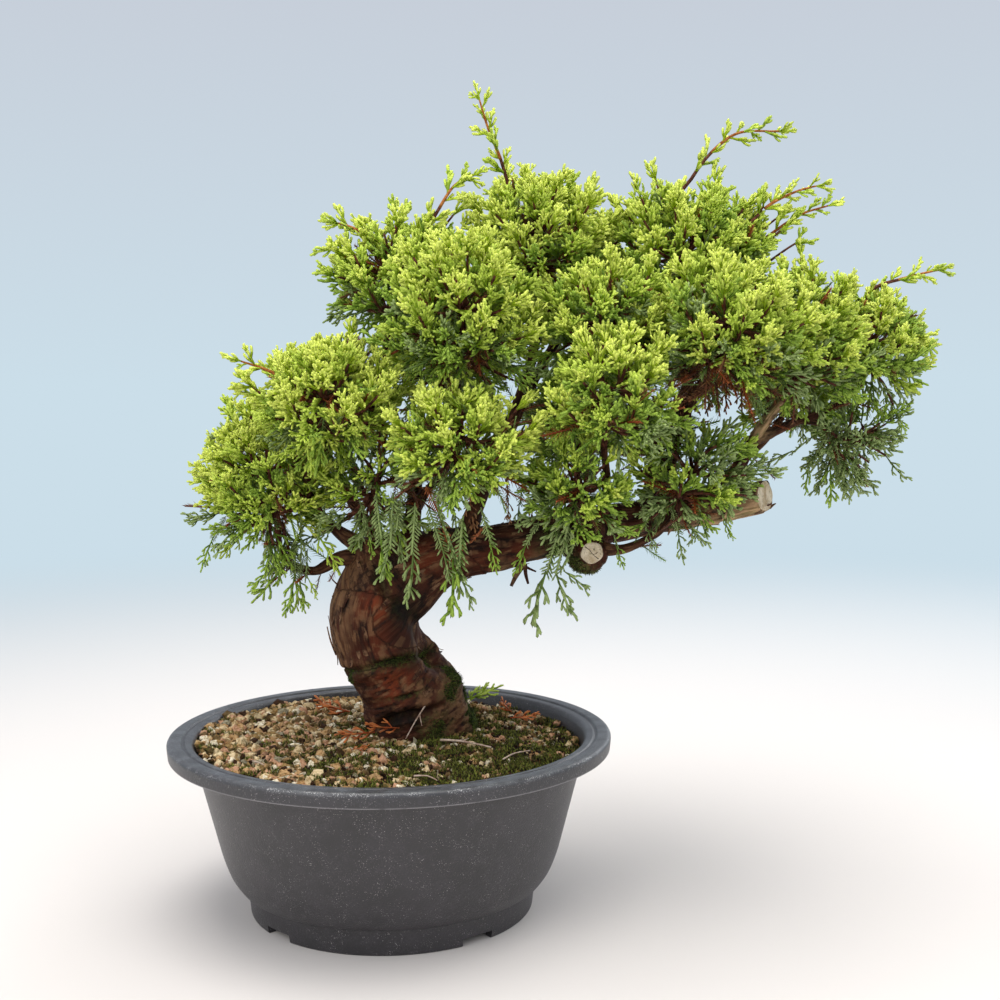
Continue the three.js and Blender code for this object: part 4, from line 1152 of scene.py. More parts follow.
# Shaded twigs that hang from the crown's underside, each in needles down to a place in mm and then in
# an open spray of cords down to its tip
HANGING_SPRAYS = {
    "front_left": (
        ((12, -50, 206), (11, -52, 184), (10, -54, 162), "grey"),
        ((22, -50, 206), (29, -52, 180), (30, -54, 154), "deep"),
        ((34, -52, 200), (31, -52, 174), (39, -54, 160), "grey"),
        ((2, -40, 210), (0, -44, 186), (-3, -46, 170), "grey"),
        ((18, -50, 204), (24, -53, 186), (28, -54, 172), "grey"),
        ((42, -54, 204), (46, -54, 188), (49, -54, 175), "deep"),
        ((17, -46, 214), (23, -47, 200), (27, -48, 186), "dead"),
        ((46, -44, 196), (38, -46, 188), (28, -48, 181), "dead"),
        ((28, -30, 222), (30, -32, 204), (33, -34, 190), "grey"),
        ((38, -34, 222), (38, -32, 204), (40, -34, 192), "brown"),
    ),
    "low_middle": (
        ((80, -40, 192), (74, -38, 172), (65, -40, 147), "grey"),
        ((84, -40, 192), (78, -38, 172), (84, -38, 151), "grey"),
        ((88, -40, 188), (82, -38, 172), (94, -38, 164), "grey"),
        ((70, -42, 196), (64, -43, 186), (60, -44, 172), "deep"),
        ((104, -40, 194), (107, -40, 184), (110, -40, 174), "deep"),
        ((64, -30, 216), (62, -30, 204), (60, -32, 192), "grey"),
        ((70, -34, 218), (69, -32, 206), (68, -32, 196), "brown"),
        ((56, -28, 218), (57, -28, 206), (56, -30, 196), "brown"),
    ),
    "low_right": (
        ((134, -36, 202), (137, -38, 190), (139, -38, 177), "grey"),
        ((156, -32, 206), (160, -34, 197), (163, -34, 186), "deep"),
        ((120, -36, 204), (122, -38, 192), (126, -38, 182), "grey"),
        ((146, -34, 204), (148, -36, 194), (144, -38, 184), "grey"),
    ),
    "left_low": (
        ((-46, -6, 184), (-50, -10, 174), (-64, -10, 157), "deep"),
        ((-46, -6, 184), (-46, -10, 168), (-49, -10, 150), "deep"),
        ((-40, -6, 180), (-40, -10, 167), (-35, -10, 158), "green"),
        ((-58, -6, 186), (-56, -10, 172), (-68, -10, 162), "deep"),
        ((-80, 2, 196), (-86, 0, 186), (-92, 0, 172), "deep"),
        ((-44, -10, 206), (-43, -10, 190), (-42, -10, 176), "grey"),
        ((-42, -6, 176), (-44, -10, 166), (-41, -10, 152), "deep"),
    ),
    "left_inner": (
        ((-30, -24, 204), (-34, -28, 190), (-24, -30, 174), "green"),
        ((-14, -30, 206), (-10, -30, 190), (-7, -30, 180), "deep"),
        ((-6, -36, 210), (-4, -40, 188), (-2, -42, 170), "deep"),
        ((6, -38, 212), (4, -42, 194), (6, -44, 178), "grey"),
    ),
    "right_front": (
        ((150, 0, 285), (152, -2, 264), (150, -6, 250), "brown"),
        ((158, 4, 285), (160, 2, 262), (161, -2, 247), "brown"),
        ((166, 4, 284), (168, 2, 262), (170, -2, 248), "dead"),
        ((174, 0, 280), (176, 0, 262), (177, -4, 248), "brown"),
        ((182, 2, 280), (184, 0, 262), (184, -4, 248), "grey"),
        ((144, -10, 275), (147, -12, 258), (150, -14, 246), "brown"),
        ((154, 8, 276), (163, 6, 266), (172, 4, 256), "brown"),
        ((170, 8, 276), (160, 8, 264), (152, 6, 254), "brown"),
    ),
    "far_low": (
        ((226, 10, 236), (216, 10, 220), (212, 10, 206), "deep"),
        ((228, 10, 234), (226, 10, 218), (227, 10, 199), "deep"),
        ((230, 10, 234), (236, 10, 222), (242, 10, 213), "deep"),
        ((228, 10, 236), (232, 12, 216), (236, 14, 200), "grey"),
        ((216, 4, 234), (204, 2, 226), (190, 0, 221), "grey"),
    ),
}
# How many of a mass's plumes are thin and open, for the masses in the crown's shade. The same share
# darkens the mass's leaf tones as painted shade.
OPEN_SHADED_MASSES = {"low_right": 0.6, "far_low": 0.9, "left_inner": 0.5, "low_middle": 0.25, "back_low": 0.4}
# How much more painted light some masses get in their leaf tones, which stand clear of the rest
SUNNY_MASSES = {"left_middle": 0.35, "crown_top": 0.3, "left_low": 0.15}
FOLIAGE_PIECES = {
    "leaves_left": ("left_low", "left_middle", "left_inner"),
    "leaves_left_top": ("left_top", "front_left", "front_top"),
    "leaves_crown": ("crown_top", "back_top"),
    "leaves_middle": ("low_middle", "front_middle", "right_inner", "low_right"),
    "leaves_right": ("right_front", "right_top"),
    "leaves_far": ("far_middle", "far_right", "far_low"),
    "leaves_back": ("back_left", "back_middle", "back_low"),
    "leaves_far_back": ("far_back", "back_right"),
}
# Bright, green, deep and grey are lit and shaded copies of one green, dealt out by painted light and shade;
# grey is also the grey-green of thin shade twigs. Brown, dead and fallen are dying and dead sprays.
LEAF_TONES = {
    # Colours of a spray's body and of its young tips, which are paler both as new growth and as a painted
    # highlight
    "bright": ("B4CC30", "E0EC68"),
    "green": ("9EBC30", "C8DC56"),
    "deep": ("7C9C34", "A2BE48"),
    "grey": ("728842", "9CAE6A"),
    "brown": ("6E4028", "A07048"),
    "dead": ("8E451E", "B8683A"),
    "fallen": ("B05426", "CE7A42"),
}
TONE_NUMBER = {name: i for i, name in enumerate(LEAF_TONES)}
# Thickness of a cord or needle as a share of its spray's length, and the needles of a hanging twig
SPRAY_CORD = 0.104
TIP_CORD = 0.158
OPEN_CORD = 0.066
NEEDLE = 0.034
TAIL_NEEDLE = 0.042
TAIL_NEEDLE_COUNT = 28
# Plumes for each square mm of reach, how far out their sprays start, and how far apart these stand
PLUMES_FOR_REACH = 0.0225
PLUME_START = 0.42
PLUME_SPACING = 3.1
SHOOT_SPACING = 3.6
# Thickness in mm at the foot and tip of a plume's twig and of a shoot's two halves, and the tip of the
# stem that carries a mass
PLUME_TWIG = (2.3, 1.1)
SHOOT_FOOT = (2.4, 1.7)
SHOOT_TIP = (1.8, 0.9)
STEM_TIP = 2.6
# Lengths of sprays in mm
LONGEST_SPRAY = 17
TIP_SPRAY = 11
OPEN_SPRAY = 22
SHORTEST_SPRAY = 5
# The least share of a mass's reach that a plume needs, and how far in mm masses grow into each other
LEAST_ROOM = 0.28
OVERLAP = 15
UP = np.array((0.0, 0.0, 1.0))
# Where the crown's masses all spread from, and how far their sprays turn that way
CROWN_HEART = np.array((76.0, 20.0, 225.0))
OUTWARD = 0.3


def turn_about(vector, axis, angle):
    """A vector turned about a unit axis"""
    return (vector * math.cos(angle) + np.cross(axis, vector) * math.sin(angle)
            + axis * (axis @ vector) * (1 - math.cos(angle)))


def cord(start, end, thickness, rings=(0.0, 0.88), bend=(0.0, 0.0, 0.0)):
    """A three-sided cord, bent at its end, blunt unless it has one ring. Faces run from root to tip."""
    start, end = np.array(start, float), np.array(end, float)
    shares = np.array((*rings, 1.0))
    length = np.linalg.norm(end - start)
    line = start + shares[:, None] * (end - start) + length * shares[:, None] ** 2 * np.array(bend)
    along = unit(end - start)
    across = unit(np.cross(along, (0.31, 0.12, 1.0)))
    facing = np.cross(along, across)
    turn = np.arange(3)[:, None] * 2 * math.pi / 3
    ring = np.cos(turn) * across + np.sin(turn) * facing
    radius = thickness / 2 * np.interp(shares[:-1], (0, 0.4, 0.8, 0.95), (0.62, 0.9, 1.12, 0.9))
    corners = np.vstack([(line[:-1, None] + radius[:, None, None] * ring).reshape(-1, 3), line[-1:]])
    faces = [(0, 2, 1)]
    for low in range(0, 3 * (len(rings) - 1), 3):
        for a, b in ((0, 1), (1, 2), (2, 0)):
            faces += [(low + a, low + b, low + b + 3), (low + a, low + b + 3, low + a + 3)]
    top = 3 * (len(rings) - 1)
    faces += [(top + a, top + b, top + 3) for a, b in ((0, 1), (1, 2), (2, 0))]
    return corners, faces


def pattern_of(cords):
    """One spray's corners, faces and tip faces, painted paler as new growth and as a painted highlight, from
    its cords and the number of old faces in each
    """
    corners, faces, young_and_lit, count = [], [], [], 0
    for (cord_corners, cord_faces), old in cords:
        corners.append(cord_corners)
        faces += [tuple(i + count for i in face) for face in cord_faces]
        young_and_lit += [i >= old for i in range(len(cord_faces))]
        count += len(cord_corners)
    return np.vstack(corners), np.array(faces), np.array(young_and_lit)


def tufted_pattern(
        random, thick, side_cords, forks, spread=0.6, reach=0.56, fork_start=0.34, leans=(0.5, 0.82)):
    """Cords stand off an axis of unit length all round, fork, and turn their tips the same way"""
    cords = [(cord((0, 0, 0), (0.95, 0, 0), thick, (0, 0.5, 0.92), (0, 0, 0.1)), 7)]
    for i in range(side_cords):
        share = 0.12 + spread * (i + random.uniform(-0.2, 0.2)) / (side_cords - 1)
        around = i * GOLDEN_ANGLE + random.uniform(-0.3, 0.3)
        out = np.array((0.0, math.cos(around), 0.75 * math.sin(around)))
        lean = random.uniform(*leans)
        length = reach * (1 - 0.42 * share) * random.uniform(0.85, 1.15)
        start = np.array((share, 0, 0.1 * share ** 2))
        heading = unit(np.array((math.cos(lean), 0, 0)) + math.sin(lean) * out)
        inward = np.array((0.15, 0, 0.1)) - 0.2 * out
        cords.append((cord(start, start + length * heading, thick * 0.95, (0, 0.5, 0.88), inward), 7))
        axis = unit(np.cross(heading, (1.0, 0.0, 0.02)))
        for j in range(forks):
            at = start + (fork_start + 0.24 * j) * length * heading
            fork = turn_about(heading, axis, (0.62, -0.5)[j] + random.uniform(-0.15, 0.15))
            fork = unit(fork + random.normal(0, 0.2, 3))
            end = at + fork * reach * random.uniform(0.38, 0.54)
            cords.append((cord(at, end, thick * 0.92, bend=inward), 1))
    for turn in (-0.55, 0.5):
        start = np.array((0.7, 0, 0.05))
        heading = np.array((math.cos(turn), math.sin(turn), random.uniform(-0.1, 0.35)))
        cords.append((cord(start, start + heading * 0.26, thick * 0.95), 1))
    return pattern_of(cords)


def spray_pattern(random):
    """A dense spray of forking cords"""
    return tufted_pattern(random, SPRAY_CORD, 5, 2)


def tip_pattern(random):
    """The short, stout spray at the end of a plume"""
    return tufted_pattern(random, TIP_CORD, 4, 0)


def open_pattern(random):
    """A long thin spray of short side cords that each fork once, as grows in half shade"""
    return tufted_pattern(random, OPEN_CORD, 7, 1, 0.68, 0.42, 0.45, (0.8, 1.1))


def tail_pattern(random):
    """A long hanging twig in needles that stand off both its sides"""
    cords = [(cord((0, 0, 0), (1, 0, 0), TAIL_NEEDLE * 1.4, (0, 0.35, 0.7, 0.97), (0, 0, 0.06)), 1)]
    for i in range(TAIL_NEEDLE_COUNT):
        share = 0.04 + 0.92 * i / (TAIL_NEEDLE_COUNT - 1)
        around = math.pi * i + random.uniform(-0.7, 0.7)
        start = np.array((share, 0, 0.06 * share ** 2))
        heading = np.array((0.66, 0.75 * math.cos(around), 0.75 * math.sin(around)))
        end = start + heading * random.uniform(0.14, 0.24)
        cords.append((cord(start, end, TAIL_NEEDLE, (0, 0.7)), 4 * (i % 2)))
    return pattern_of(cords)


def feather_pattern(random):
    """A flat twiglet with two rows of needles, as grows in the shade"""
    cords = [(cord((0, 0, 0), (1, 0, 0), NEEDLE * 1.5, (0, 0.5, 0.96), (0, 0, -0.12)), 13)]
    for i in range(24):
        share = 0.08 + 0.88 * i / 23
        side = 1 if i % 2 else -1
        angle = random.uniform(0.55, 0.85)
        length = 0.27 * math.sin(math.pi * (0.25 + 0.65 * share)) * random.uniform(0.7, 1.2)
        start = np.array((share, 0, -0.12 * share ** 2))
        heading = np.array((math.cos(angle), side * math.sin(angle), random.uniform(-0.25, 0.35)))
        cords.append((cord(start, start + length * heading, NEEDLE * 1.25, (0,)), 4 * random.integers(0, 2)))
    return pattern_of(cords)


# How each kind of spray is made, and how many differ
PATTERN_MAKERS = {
    "spray": (spray_pattern, 8), "tip": (tip_pattern, 6), "open": (open_pattern, 6),
    "tail": (tail_pattern, 3), "feather": (feather_pattern, 4),
}
pattern_random = np.random.default_rng(5)
PATTERNS, PATTERN_NUMBERS = [], {}
for kind, (maker, count) in PATTERN_MAKERS.items():
    PATTERN_NUMBERS[kind] = range(len(PATTERNS), len(PATTERNS) + count)
    PATTERNS += [maker(pattern_random) for _ in range(count)]

# Where the photo was taken from, in mm
SIGHT_START = np.array((0.0, -692.0, 261.0))
# The openings where the sky shows from there: x and z in mm where the line of sight crosses the
# trunk's plane, and radius. No spray grows in them.
SKY_GAPS = (
    (-20, 199, 6.5), (-2, 193, 3.5), (109, 218, 7), (65, 247, 4.5), (-41, 246, 4), (202, 228, 9),
    (200, 217, 8), (267, 298, 7), (259, 307, 5), (250, 220, 7), (-90, 231, 4), (-2, 336, 4.5),
    (-15, 327, 4), (-28, 306, 4), (219, 315, 6), (-1, 195, 4.5), (188, 199, 7), (177, 196, 6),
    (165, 194, 5.5), (153, 192, 5), (262, 224, 10), (252, 206, 10), (190, 231, 4.5), (273, 292, 6),
    (49, 352, 4), (-25, 301, 4.5), (-61, 261, 4.5),
)
# The hollows in the crown's front, measured in the same way, and how far back in mm they reach. Their
# sprays are brown and thin for want of light.
HOLLOW_DEPTH = 15
HOLLOWS = (
    (133, 256, 6), (151, 260, 11), (168, 257, 12), (188, 251, 9), (41, 272, 6), (45, 261, 5),
    (63, 240, 8), (59, 205, 9), (6, 207, 9), (20, 202, 8),
)


def cones_of_sight(rounds):
    """The directions of sight through rounds of x, z and radius, and how fast each cone widens"""
    ways = np.array([(x, 0, z) for x, z, _ in rounds]) - SIGHT_START
    return unit(ways), np.array([radius for _, _, radius in rounds]) / np.linalg.norm(ways, axis=1)


GAP_CONES = cones_of_sight(SKY_GAPS)
HOLLOW_CONES = cones_of_sight(HOLLOWS)


def in_cones(place, cones):
    """Whether a place lies in one of the cones of sight"""
    ways, widths = cones
    apart = place - SIGHT_START
    depth = ways @ apart
    return (np.linalg.norm(apart - depth[:, None] * ways, axis=1) < widths * depth).any()


# What a spray turns to for want of light, and how often: in a hollow, and on an open plume
SHADED_TONES = ("brown", "grey", "dead")
HOLLOW_SHARES = (0.5, 0.3, 0.2)
OPEN_SHARES = (0.6, 0.25, 0.15)


def add_spray(sprays, kind, tone, length, base, way, random, upright=0.3):
    """Adds one spray of the kind and tone, unless it would close an opening. In a hollow it is thin."""
    middle = base + 0.6 * length * way
    if not in_cones(middle, GAP_CONES):
        if middle[1] < HOLLOW_DEPTH and in_cones(middle, HOLLOW_CONES):
            kind, tone = "feather", random.choice(SHADED_TONES, p=HOLLOW_SHARES)
        number = random.choice(PATTERN_NUMBERS[kind])
        sprays.append((number, TONE_NUMBER[tone], length, base, way, any_facing(way, random, upright)))


def spray_bodies(sprays):
    """Corners, faces and slots of sprays of pattern, tone, length, base, heading and facing, in mm"""
    corners, faces, slots, count = [], [], [], 0
    for number, (pattern_corners, pattern_faces, young_and_lit) in enumerate(PATTERNS):
        chosen = [spray[1:] for spray in sprays if spray[0] == number]
        if not chosen:
            continue
        tones, lengths, bases, along, facing = (np.array(column) for column in zip(*chosen))
        along = unit(along)
        across = unit(np.cross(facing, along))
        axes = np.stack([along, across, np.cross(along, across)], axis=1) * lengths[:, None, None]
        corners.append((pattern_corners @ axes + bases[:, None]).reshape(-1, 3))
        shift = count + len(pattern_corners) * np.arange(len(chosen))
        faces.append((pattern_faces[None] + shift[:, None, None]).reshape(-1, 3))
        slots.append((2 * tones[:, None] + young_and_lit[None]).ravel())
        count += len(pattern_corners) * len(chosen)
    return np.vstack(corners) * MM, np.vstack(faces), np.concatenate(slots)


def mass_room(mass, place, heading):
    """How far a heading runs from a place to the skin of a mass"""
    start = (place - mass["middle"]) / mass["reach"]
    towards = heading / mass["reach"]
    a, b = towards @ towards, start @ towards
    return (math.sqrt(max(0.0, b * b - a * (start @ start - 1))) - b) / a


def open_room(mass, place, heading):
    """The same room, ended a little way into a neighbouring mass"""
    room = mass_room(mass, place, heading)
    for wall_heading, distance in mass["walls"]:
        if heading @ wall_heading > 0:
            left = distance - (place - mass["middle"]) @ wall_heading
            room = min(room, max(0.0, left) / (heading @ wall_heading))
    return room


def walls_round(mass, masses):
    """Where each neighbour's room ends and this mass's begins, in proportion to their reach"""
    walls = []
    for other in masses:
        if other is not mass:
            apart = np.linalg.norm(other["middle"] - mass["middle"])
            heading = (other["middle"] - mass["middle"]) / apart
            own = mass_room(mass, mass["middle"], heading)
            theirs = mass_room(other, other["middle"], heading)
            walls.append((heading, apart * own / (own + theirs) + OVERLAP))
    return walls


def even_headings(count, turn):
    """Headings spread evenly over a ball"""
    order = np.arange(count)
    height = 1 - (2 * order + 1) / count
    across = np.sqrt(1 - height ** 2)
    angle = turn + order * GOLDEN_ANGLE
    return np.stack([across * np.cos(angle), across * np.sin(angle), height], axis=-1)


def twig_tube(places, thick, thin, sides=5):
    """A thin tapering stem through places in mm"""
    radii = np.linspace(thick / 2, thin / 2, len(places))
    stations = [(*place, radius) for place, radius in zip(places, radii)]
    return closed_tube(limb_rings(*smooth_route(stations, 3.6), sides) * MM)


def any_facing(heading, random, upright=0.0):
    """A direction across the heading, the more upright the larger the share"""
    facing = random.normal(size=3) + upright * 3 * UP
    return unit(facing - heading * (facing @ heading))


def side_way(along, side, turns, lean):
    """A heading that leans away from a stem, turned on by the golden angle with each spray"""
    out = turn_about(side, along, turns * GOLDEN_ANGLE)
    out = unit(out - along * (out @ along))
    return unit(along * math.cos(lean) + out * math.sin(lean))


# The painted light that each tone needs, so that the leaf colour carries the crown's light and shade.
# With less, a spray is grey.
TONE_LIGHT = (("bright", 0.3), ("green", -0.12), ("deep", -0.5))


def tone_of(light):
    """The tone of a spray for its painted light"""
    for tone, least in TONE_LIGHT:
        if light > least:
            return tone
    return "grey"


# How far sprays lean off a full and an open plume's twig, in radians at its start and how much less at
# its tip, and how much that varies
FULL_LEAN = (0.88, 0.4)
OPEN_LEAN = (0.9, 0.5)
LEAN_SPREAD = 0.1
# How far in mm a full and an open plume's sprays may stand out of their mass
FULL_EXCESS = 4
OPEN_EXCESS = 7
# Lengths in mm of the shaded sprays inside a plume and along a bough
INNER_SPRAYS = (14, 24)
BOUGH_SPRAYS = (12, 22)


def plume_lean(lean, share, random):
    """How far a spray leans off its twig at a share of the plume"""
    most, drop = lean
    return most - drop * share + random.uniform(-LEAN_SPREAD, LEAN_SPREAD)


def grow_plume(mass, route, light, sprays, random):
    """Sprays that stand round a twig's outer part and at its end, each as long as its room allows"""
    along = unit(np.gradient(route, axis=0))
    side = any_facing(along[0], random)
    first = int(len(route) * PLUME_START)
    for i in range(first, len(route)):
        share = (i - first) / max(1, len(route) - 1 - first)
        way = side_way(along[i], side, i, plume_lean(FULL_LEAN, share, random))
        way = unit(way + OUTWARD * mass["outward"])
        want = LONGEST_SPRAY + share * (TIP_SPRAY - LONGEST_SPRAY)
        length = min(want * random.uniform(0.85, 1.15), open_room(mass, route[i], way) + FULL_EXCESS)
        if length > SHORTEST_SPRAY:
            # Sprays further out along the plume get a brighter tone: younger growth and painted light
            tone = tone_of(light + 0.5 * (share - 0.6) + random.normal(0, 0.12))
            add_spray(sprays, "spray" if length > TIP_SPRAY else "tip", tone, length, route[i], way, random)
    # The sprays at the plume's end are painted brighter still
    for _ in range(2):
        way = unit(along[-1] + random.normal(0, 0.3, 3))
        add_spray(sprays, "tip", tone_of(light + 0.3), TIP_SPRAY, route[-1], way, random)
    for share in random.uniform(0.12, 0.55, 2):
        i = int(share * len(route))
        way = side_way(along[i], side, random.integers(8), random.uniform(0.7, 1.2))
        tone = random.choice(("grey", "grey", "deep", "brown", "dead"))
        add_spray(sprays, "feather", tone, random.uniform(*INNER_SPRAYS), route[i], way, random)


def grow_open_plume(mass, route, light, sprays, random):
    """The same in the shade: fewer, longer and thinner sprays, with needles further in"""
    along = unit(np.gradient(route, axis=0))
    side = any_facing(along[0], random)
    for i in range(int(len(route) * 0.3), len(route), 2):
        share = i / len(route)
        way = side_way(along[i], side, i, plume_lean(OPEN_LEAN, share, random))
        way = unit(way - 0.12 * UP)
        length = min(OPEN_SPRAY * random.uniform(0.8, 1.1), open_room(mass, route[i], way) + OPEN_EXCESS)
        if length > 2 * SHORTEST_SPRAY:
            # Painted shade: an open plume's sprays get a darker tone
            tone = tone_of(light - 0.45 + random.normal(0, 0.15))
            kind = "feather" if random.random() < 0.8 - share else "open"
            if kind == "feather" and random.random() < 0.45:
                tone = random.choice(SHADED_TONES, p=OPEN_SHARES)
            add_spray(sprays, kind, tone, length, route[i], way, random, 0.1)
    # Its end spray is painted darker too
    add_spray(sprays, "open", tone_of(light - 0.3), 0.8 * OPEN_SPRAY, route[-1], along[-1], random)


# How far the sprays round a shoot lean off it, in radians, and their lengths in mm at its foot and tip
SHOOT_LEAN = (0.5, 0.85)
SHOOT_SPRAYS = (13, 8.5)


def grow_shoot(mass, places, sprays, random):
    """A long shoot that stands out of its mass, with short sprays round it. Gives the stem's places."""
    tip_room = unit(places[-1] - places[-2]) * TIP_SPRAY * 0.8
    places = [0.4 * places[0] + 0.6 * mass["middle"], *places[:-1], places[-1] - tip_room]
    route, _ = smooth_route([(*place, 1) for place in places], SHOOT_SPACING)
    along = unit(np.gradient(route, axis=0))
    side = any_facing(along[0], random)
    first = int(np.argmin(np.linalg.norm(route - places[1], axis=1)))
    bare = first + (len(route) - first) * 3 // 10
    for i in (*range(max(1, first - 5), first + 1), *range(bare, len(route))):
        way = side_way(along[i], side, i, random.uniform(*SHOOT_LEAN))
        tone = random.choice(("bright", "green"), p=(0.6, 0.4))
        length = np.interp(i, (first, len(route)), SHOOT_SPRAYS) * random.uniform(0.75, 1.2)
        add_spray(sprays, "tip", tone, length, route[i], way, random)
    add_spray(sprays, "tip", "bright", 0.8 * TIP_SPRAY, route[-1], along[-1], random)
    return route


# A plume's painted light, which picks its leaf tone: the same for all, for a place at the mass's top,
# and lost in an open mass, with how much it varies. Tops of masses are painted brighter.
BASE_LIGHT = 0.12
TOP_LIGHT = 0.24
SHADE_LOSS = 0.6
LIGHT_SPREAD = 0.24
# How far a stem or twig strays from its line in mm, and how far a full plume sags for its length
TWIG_STRAY = 1.5
PLUME_SAG = 0.2


def grow_mass(name, masses, number):
    """The sprays, twigs and shoot stems of one mass"""
    mass = masses[name]
    random = np.random.default_rng(number)
    sprays, twigs, stems = [], [], []
    bough_tip = np.array(BOUGH_ROUTES[mass["bough"]][-1][:3], float)
    halfway = (bough_tip + mass["middle"]) / 2 + random.normal(0, TWIG_STRAY, 3)
    stem = [bough_tip, halfway, mass["middle"]]
    stem_foot = 2 * SLIMMING[1][-1] * BOUGH_ROUTES[mass["bough"]][-1][3]
    twigs.append(twig_tube(stem, stem_foot, STEM_TIP, 8))
    tips = []
    for heading in even_headings(round(PLUMES_FOR_REACH * mass["reach"].mean() ** 2), number * 1.7):
        reach = mass_room(mass, mass["middle"], heading)
        room = open_room(mass, mass["middle"], heading)
        if room > LEAST_ROOM * reach:
            length = min(room, reach * random.uniform(0.78, 1.1)) - 0.8 * TIP_SPRAY
            tips.append(mass["middle"] + heading * length)
    tips += [np.array(tip, float) for tip in BRIDGING_PLUMES.get(name, ())]
    for tip in tips:
        heading = unit(tip - mass["middle"])
        height_share = (tip[2] - mass["middle"][2]) / mass["reach"][2]
        shade = OPEN_SHADED_MASSES.get(name, 0)
        # Painted light: brighter high on the mass and in sunnier masses, darker in shaded open ones
        light = BASE_LIGHT + SUNNY_MASSES.get(name, 0) + TOP_LIGHT * height_share - SHADE_LOSS * shade
        light += random.normal(0, LIGHT_SPREAD)
        is_open = random.random() < shade or heading[2] < -0.45
        foot = halfway if heading[2] < 0 else mass["middle"]
        sag = PLUME_SAG if heading[2] > -0.3 and not is_open else 0.0
        bend = (foot + tip) / 2 - (0, 0, sag * np.linalg.norm(tip - foot))
        bend += random.normal(0, TWIG_STRAY, 3)
        twigs.append(twig_tube([foot, bend, tip], *PLUME_TWIG))
        route, _ = smooth_route([(*place, 1) for place in (foot, bend, tip)], PLUME_SPACING)
        grow = grow_open_plume if is_open else grow_plume
        grow(mass, route, light, sprays, random)
    for places in SHOOTS.get(name, ()):
        route = grow_shoot(mass, np.array(places, float), sprays, random)
        half = len(route) * 3 // 5
        twigs.append(twig_tube(route[:half:2], *SHOOT_FOOT))
        stems.append(twig_tube(route[half - 1:], *SHOOT_TIP))
    for places in HANGING_SPRAYS.get(name, ()):
        top, fork, tip = (np.array(place, float) for place in places[:3])
        tone = places[3]
        needles = tone if tone in ("brown", "dead") else "grey"
        for kind, tone, start, end in (("tail", needles, top, fork), ("open", tone, fork, tip)):
            number = random.choice(PATTERN_NUMBERS[kind])
            along = 1.1 * (end - start)
            facing = any_facing(unit(along), random)
            sprays.append((number, TONE_NUMBER[tone], np.linalg.norm(along), start, along, facing))
    return sprays, twigs, stems


def grow_along_bough(stations, sprays, random):
    """Dead and shaded sprays on the outer part of a bough"""
    route, radii = smooth_route(stations, 4.5)
    along = unit(np.gradient(route, axis=0))
    side = any_facing(along[0], random)
    for i in range(int(0.35 * len(route)), len(route)):
        way = side_way(along[i], side, i, random.uniform(0.7, 1.3))
        tone = random.choice(("grey", "brown", "dead", "deep"), p=(0.25, 0.35, 0.15, 0.25))
        length = random.uniform(*BOUGH_SPRAYS)
        add_spray(sprays, "feather", tone, length, route[i] + way * radii[i] * 0.6, way, random)


def leaf_material(name, code):
    """Scale leaves, a little glossy"""
    return two_tone(name, shaded(code, 0.8), colour(code), 2.5, 0.5, 0.25, 0.45, 0.12)


masses = {}
for name, (middle, reach) in MASSES.items():
    middle, reach = np.array(middle, float), np.array(reach, float)
    masses[name] = {"bough": CARRIED_BY.get(name, name), "middle": middle, "reach": reach}
for mass in masses.values():
    mass["walls"] = walls_round(mass, masses.values())
    mass["outward"] = unit(mass["middle"] - CROWN_HEART) + 0.3 * UP
leaf_materials = []
for tone, (body_code, tip_code) in LEAF_TONES.items():
    leaf_materials += [leaf_material(f"leaf_{tone}", body_code), leaf_material(f"leaf_tip_{tone}", tip_code)]


def make_leaves(name, sprays):
    """One piece of leaves from its sprays"""
    corners, faces, slots = spray_bodies(sprays)
    leaves = make_piece(name, corners, faces, leaf_materials, slots)
    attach(leaves, "root")
    return leaves


all_twigs, all_stems = [], []
for piece_name, names in FOLIAGE_PIECES.items():
    sprays = []
    for name in names:
        mass_sprays, mass_twigs, mass_stems = grow_mass(name, masses, 1 + list(MASSES).index(name))
        sprays += mass_sprays
        all_twigs += mass_twigs
        all_stems += mass_stems
    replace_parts(make_leaves(piece_name, sprays), *(f"foliage_{name}" for name in names))

inner_random = np.random.default_rng(31)
inner_sprays = []
for stations in BOUGH_ROUTES.values():
    grow_along_bough(stations, inner_sprays, inner_random)
make_leaves("leaves_inner", inner_sprays)


def twig_material(name, code, streak):
    """Young bark with paler streaks"""
    return two_tone(name, colour(code), colour(streak), 2.2, 0.75, 0.15, 0.8, 0.15)


twigs = make_piece("twigs", *merged(all_twigs), [twig_material("twig_bark", "3E2016", "6B4030")])
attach(twigs, "root")
shoot_bark = twig_material("young_shoot_bark", "8A4A20", "B0703A")
shoot_stems = make_piece("shoot_stems", *merged(all_stems), [shoot_bark])
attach(shoot_stems, "root")

# The litter
# What fell on the soil: dead orange sprays, two fresh green ones behind the trunk, and bare pale twigs,
# one of them leaning on the trunk's foot. All are loose.

# Foot and tip of each spray in mm, and its tone
FALLEN_SPRAYS = (
    ((4, -14, 92), (-12, -17, 93), "fallen"), ((-8, -17, 91), (-26, -21, 90), "fallen"),
    ((-22, 48, 86), (-40, 62, 87), "fallen"), ((62, 26, 86), (77, 27, 86), "fallen"),
    ((64, 40, 86), (60, 55, 87), "fallen"), ((-19, -30, 86), (-11, -27, 86), "fallen"),
    ((40, 40, 93), (58, 50, 96), "green"), ((42, 42, 92), (52, 58, 94), "green"),
)
